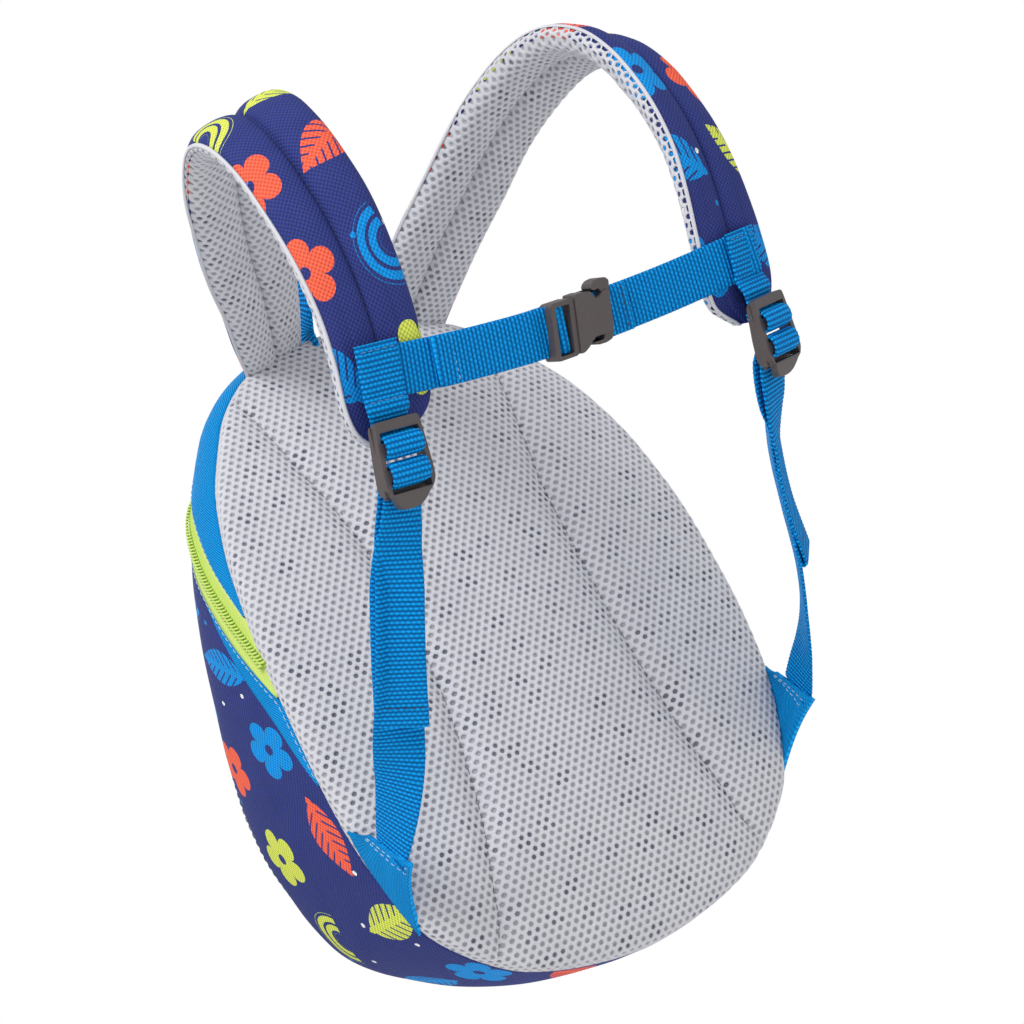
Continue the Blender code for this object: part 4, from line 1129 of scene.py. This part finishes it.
def buildLoadWebbing(side):
    top, down, across, normal = lockFrame(side)
    near, far = np.array(harness["tabNear"]), np.array(harness["tabFar"])
    tabSide = unit(near - far)
    start, end = (near + far) / 2, inLock(side, 30, -11.5)
    turns = tableCurve(harness["turnAt"][side], [0, 1, 2, 2] if side == "left" else [0, 1, 1, 2])
    sides = np.array([tabSide, unit(harness["loadSide"][side]), across, across])
    sway = tableCurve([0, 0.2, 0.41, 0.62, 0.77, 1], harness["loadSway"][side])

    def sideAt(share):
        at = float(turns(share))
        return unit(sides[int(at)] * (1 - at % 1) + sides[int(at) + 1] * (at % 1))

    def middleAt(share):
        return (start + (end - start) * share + np.array([1.5, -3.5, -4.0]) * math.sin(math.pi * share)
                + np.array(harness["swayAlong"][side]) * float(sway(share)))

    narrow = 15.6
    stations = [np.concatenate([start - (end - start) * 0.016, tabSide, [harness["width"] - 1]])]
    stations += [np.concatenate([middleAt(t), sideAt(t), [harness["width"] - (1 - t) ** 2]])
                 for t in np.linspace(0.0, 0.94, 14)]
    through = [(25.4, -9.6), (21.6, -7.9), (18.6, -5.6), (16.4, -3.6), (15.2, -1.6), (14.9, 0.6), (15.4, 2.4),
               (16.8, 3.2), (18.8, 3.5), (20.6, 3.2), (21.9, 1.9), (22.3, -0.2), (22.6, -2.2), (23.6, -5.0),
               (27.6, -6.9)]
    stations += [np.concatenate([inLock(side, u, n), across, [narrow]]) for u, n in through]
    # the free tail turns within its first 20 mm, then hangs straight to its folded end
    tail = [np.array(point, float) for point in harness["tail"][side]]
    tailSide = np.array(harness["tailSide"][side], float)
    ahead = unit(tail[-1] - tail[-2])
    tailSide = unit(tailSide - ahead * (tailSide @ ahead))
    leave = inLock(side, 30.5, -7.2)
    path = smoothPath([leave] + tail, 12)
    for k, point in enumerate(path[1:]):
        turn = min((k + 1) / 4, 1)
        stations.append(np.concatenate([point, unit(across * (1 - turn) + tailSide * turn),
                                        [narrow + (harness["width"] - narrow) * turn]]))
    last = path[-1]
    inward = unit(np.cross(ahead, tailSide))
    inward = inward if inward[1] > 0 else -inward
    for forward, back in ((0.7, 0.35), (1.0, 1.0), (0.7, 1.65), (-0.6, 2.0), (-4.5, 1.9), (-harness["fold"], 1.8)):
        stations.append(np.concatenate([last + ahead * forward + inward * back, tailSide, [harness["width"]]]))
    ribbonPiece("load_webbing_" + side, stations, harness["width"], webbingFinish, "webbing",
                "lower_webbing_" + side, side)
    seam = last - ahead * 6.8 - inward * (harness["thick"] / 2 + 0.12)
    row = [seam + tailSide * s for s in np.linspace(-8.4, 8.4, 10)]
    stitches("tail_stitches_" + side, setInPlace(np.array(row) * mm, side),
             np.tile(mirrored(-inward) if side == "left" else -inward, (10, 1)), navyThread, "webbing",
             length=1.9, space=0.9, radius=0.18, lift=0.04)


def buildTab(side):
    top, near = np.array([100.3, 10.6, -57.5]), np.array(harness["tabNear"])
    bottom, far = np.array([87.5, 21.5, -101.5]), np.array(harness["tabFar"])
    rows, columns = 34, 26
    t, w = np.meshgrid(np.linspace(0, 1, rows), np.linspace(0, 1, columns), indexing="ij")
    seamOut = tableCurve([0, 0.33, 0.66, 1], [0, 1.4, 1.2, 0])(t[:, :1])
    seam = top + (bottom - top) * t[:, :1] + np.array([1, 0, 0]) * seamOut
    edge = near + (far - near) * t[:, :1]
    grid = seam[:, None] * (1 - w[..., None]) + edge[:, None] * w[..., None]
    dip = np.sin(math.pi * w) * (t ** 4 * 3.4 - (1 - t) ** 4 * 1.2)
    grid = grid + unit(top - bottom) * dip[..., None]
    normal = unit(np.cross(far - near, seam[0] - near))
    puff = np.sin(math.pi * w) * np.sin(math.pi * t) * 0.9 + 0.25 * np.sin(t * 19 + w * 3) * w * (1 - w) * 4
    grid = grid + normal * puff[..., None]
    points = setInPlace(grid * mm, side)
    uv = np.stack([w * 26, t * 34], -1)
    piece = makePiece("side_tab_cloth_" + side, points, gridFaces(rows, columns), uv)
    dress(piece, blueFinish, "blue_polyester", "side_tab_" + side)
    thicken(piece, 1.7, offset=0)
    normals = gridNormals(points)
    facing = np.array([-0.51, -0.82, -0.27])
    for name, column, low, high in (("a", 0.90, 0.03, 0.97), ("b", 0.80, 0.03, 0.97)):
        at = np.linspace(low, high, 30) * (rows - 1)
        line = sampleGrid(points, at, np.full(30, column * (columns - 1)))
        up = unit(sampleGrid(normals, at, np.full(30, column * (columns - 1))))
        up = up * np.sign(up @ facing)[:, None]
        stitches("tab_stitches_%s_%s" % (name, side), line + up * 0.85 * mm, up, paleThread, "blue_polyester",
                 length=2.0, space=1.0, radius=0.2, lift=0.06)


# Chest strap and buckle

chestUp = unit((0, -chest["lean"], 1))
chestFront = unit(np.cross(chestUp, (1, 0, chest["tilt"])))
chestFront = chestFront if chestFront[1] < 0 else -chestFront


def onChest(a, n, b=0.0):    # mm along the chest strap from its middle, out from its face and across it
    slack = 1 - (a / chest["end"]) ** 2
    middle = np.array([a, chest["y"] + chest["back"] * slack, chest["z"] - chest["sag"] * slack + chest["tilt"] * a])
    return middle + chestFront * n + chestUp * b


def buildChest():
    left = [(-48, -0.8), (-30, -0.8), (-20, -0.9), (-15, -1.8),
            (-10.4, -2.2), (-7.4, -1.8), (-5.9, -0.4), (-5.8, 1.4), (-6.6, 2.8), (-8.2, 3.2), (-9.8, 2.4), (-11.6, 0.6),
            (-15, 0.2), (-20, 0.8), (-30, 0.9), (-46, 1.0), (-58.6, 1.6), (-60.0, 1.0), (-59.6, 0.3), (-56, 0.5),
            (-50, 0.2)]
    right = [(44, -0.8), (30, -0.8), (20, -0.8), (12, -1.2),
             (9.6, -0.8), (8.8, 0.4), (9.6, 1.5), (12, 1.5), (17, 1.0), (24, 0.9)]
    for side, path in (("left", left), ("right", right)):
        sign = -1 if side == "left" else 1
        ends = np.array([86, 82, 78, 74, 70, 66, 62])
        rest = coverHeight(side, onChest(0, 0), unit((1, 0, chest["tilt"])), chestFront, chestUp, sign * ends, True)
        flat = np.array([chestFront @ (onChest(sign * a, 0) - onChest(0, 0)) for a in ends])
        lying = [(sign * a, max(n - f + 0.9, -0.8)) for a, n, f in zip(ends, rest, flat)]
        stations = [np.concatenate([onChest(a, n), chestUp]) for a, n in lying + path]
        ribbonPiece("chest_strap_" + side, stations, chest["chestWidth"] if "chestWidth" in chest
                    else harness["chestWidth"], webbingFinish, "webbing", "chest_webbing_" + side)
    for name, a, n, finish in (("left", -53.0, 1.8, paleThread), ("right", 21.8, 1.7, navyThread)):
        row = np.array([onChest(a, n, b) for b in np.linspace(-8.2, 8.2, 10)]) * mm
        stitches("chest_stitches_" + name, row, np.tile(chestFront, (10, 1)), finish, "webbing", length=1.9,
                 space=0.8, radius=0.2, lift=0.05)


def buildBuckle():
    def put(a, b, n):
        return onChest(a + chest["buckleLean"] * b, n, b) * mm

    plugRing = rounded([(-12.8, -10.8), (-2.6, -10.6), (-2.6, 9.7), (-12.8, 9.6)], 1.8)
    plugHole = rounded([(-10.9, -9.3), (-4.6, -9.3), (-4.6, 7.9), (-10.9, 7.9)], 0.8)
    plug = [platePiece(plugRing, [plugHole], -2.4, 4.9, put),
            platePiece(rounded([(-8.4, -9.6), (-6.9, -9.6), (-6.9, 8.2), (-8.4, 8.2)], 0.5), [], -0.9, 1.0, put)]
    joined("buckle_plug_body", plug, acetalFinish, "acetal", "buckle_plug", bevel=0.8)
    body = [(-2.4, -10.4), (-0.6, -10.2), (1.6, -8.9), (3.2, -7.2), (4.8, -6.2), (6.8, -6.2), (9.2, -6.4), (13.0, -6.4),
            (13.0, 8.6), (10.4, 8.6), (8.6, 7.2), (7.2, 6.6), (6.1, 7.2), (5.6, 8.8), (4.4, 9.9), (1.4, 10.4),
            (-2.4, 10.3)]
    upperEar = [(5.4, 10.6), (5.8, 12.0), (7.2, 13.0), (9.8, 13.3), (12.2, 12.9), (13.7, 11.6), (13.6, 9.6),
                (13.0, 8.0), (10.0, 8.0), (9.4, 9.2), (8.6, 10.0), (7.2, 9.6), (6.4, 9.8)]
    lowerEar = [(4.6, -7.8), (6.0, -8.2), (8.8, -8.0), (9.4, -6.0), (13.0, -6.0), (13.2, -7.6), (12.2, -8.9),
                (9.6, -9.5), (6.2, -9.4), (4.9, -8.9)]
    socket = [platePiece(rounded(body, 0.6), [], -2.0, 5.5, put),
              platePiece(rounded([(3, -8), (12, -8), (12, 10), (3, 10)], 0.6), [], -2.6, -1.6, put),
              platePiece(rounded(upperEar, 0.7), [], -1.0, 4.9, put),
              platePiece(rounded(lowerEar, 0.7), [], -1.0, 4.9, put)]
    joined("buckle_socket_body", socket, acetalFinish, "acetal", "buckle_socket", bevel=0.55)


def buildHandle():
    half = [(12.5, 27.5, 140), (12.5, 25.6, 149), (12.5, 17, 158), (12, 12, 168), (11.5, 8, 181), (9.5, 5.5, 192), (6.5, 4, 200),
            (2.5, 3.5, 204)]
    stations = [(x, y, z, 0, 1, 0) for x, y, z in [(-x, y, z) for x, y, z in half] + half[::-1]]
    ribbonPiece("grab_handle_webbing", stations, harness["width"], webbingFinish, "webbing", "grab_handle", thick=2.0)


def buildSlider():    # body with its bridge, and a pull on it, at the top of the zip
    angles = math.pi + np.array([-0.02, 0, 0.02])
    centre = travelWhere(angles, coilDistance)
    line = bodyPoint(angles, centre)
    ahead = unit(line[2] - line[0])
    across = unit(bodyPoint(math.pi, centre[1] + 0.01) - line[1])
    normal = unit(np.cross(ahead, across))
    normal = normal if normal[2] > 0 else -normal

    def put(a, b, n):
        return line[1] + (ahead * a + across * b + normal * n) * mm

    wedge = rounded([(-5.6, -2.6), (2.4, -4.1), (4.0, -3.2), (3.2, 0), (4.0, 3.2), (2.4, 4.1), (-5.6, 2.6)], 1.0)
    pull = rounded([(0.2, -1.9), (9, -1.7), (11, -2.6), (20.6, -2.9), (21.8, 0), (20.6, 2.9), (11, 2.6), (9, 1.7),
                    (0.2, 1.9)], 0.9)
    plates = [platePiece(wedge, [], 2.1, 3.1, put),
              platePiece(rounded([(-4.4, -0.9), (2.6, -0.9), (2.6, 0.9), (-4.4, 0.9)], 0.5), [], 3.0, 4.1, put),
              platePiece(pull, [rounded([(1.2, -1.0), (5.2, -1.0), (5.2, 1.0), (1.2, 1.0)], 0.5),
                                rounded([(13, -1.2), (18.6, -1.4), (18.6, 1.4), (13, 1.2)], 0.6)], 3.7, 4.8, put)]
    joined("zip_slider_body", plates, acetalFinish, "acetal", "zip_slider", bevel=0.3)


for side in ("left", "right"):
    buildAnchorWebbing(side)
    buildLoadWebbing(side)
    buildTab(side)
buildLocks()
buildChest()
buildBuckle()
buildHandle()
buildSlider()
print("harness made")


# Floor, light and camera

def buildStage():
    size = 6.0
    floor = makePiece("studio_floor", [(-size, -size, 0), (size, -size, 0), (size, size, 0), (-size, size, 0)],
                      [(0, 1, 2, 3)])
    floor.location.z = -0.34
    finish, tree, shader = newFinish("palePaper", 0.9)
    grain = addNode(tree, "TexNoise", into={"Scale": 300.0})
    wire(tree, shader, mixColour(tree, grain, linear("#F2F2F0"), linear("#EDEDEC")), grain, 0.05, 0.1)
    floor.data.materials.append(finish)
    world = bpy.data.worlds.new("studio")
    world.use_nodes = True
    tree = world.node_tree
    seen = addNode(tree, "LightPath", out="Is Camera Ray")
    ground = tree.nodes["Background"]
    tree.links.new(addNode(tree, "MapRange", seen, 0.0, 1.0, 0.66, 1.0), ground.inputs[1])
    ground.inputs[0].default_value = linear("#FFFFFF")
    bpy.context.scene.world = world
    for name, place, power, width in (("key", (-0.95, -0.85, 1.0), 16, 0.6), ("fill", (1.3, -0.9, 0.4), 3, 1.2),
                                      ("back", (0.3, 1.6, 1.0), 10, 1.0)):
        lamp = bpy.data.objects.new(name, bpy.data.lights.new(name, "AREA"))
        lamp.data.energy = power
        lamp.data.size = width
        lamp.location = place
        lamp.rotation_euler = (-Vector(place)).to_track_quat("-Z", "Y").to_euler()
        bpy.context.scene.collection.objects.link(lamp)
    bpy.context.scene.view_settings.view_transform = "Standard"


def buildCamera():
    a, e, roll = (math.radians(view[k]) for k in ("azimuth", "elevation", "roll"))
    back = Vector((math.sin(a) * math.cos(e), -math.cos(a) * math.cos(e), math.sin(e)))
    right = Vector((math.cos(a), math.sin(a), 0))
    up = back.cross(right)
    camera = bpy.data.objects.new("camera", bpy.data.cameras.new("camera"))
    turned = (right * math.cos(roll) + up * math.sin(roll), up * math.cos(roll) - right * math.sin(roll), back)
    camera.matrix_world = Matrix.Translation(Vector(view["target"]) + back * view["distance"]) @ Matrix(
        turned).transposed().to_4x4()
    camera.data.sensor_width = 36
    camera.data.lens = view["focal"] / view["image"] * 36
    camera.data.dof.use_dof = False
    bpy.context.scene.collection.objects.link(camera)
    bpy.context.scene.camera = camera


buildStage()
buildCamera()
print("stage and camera made")
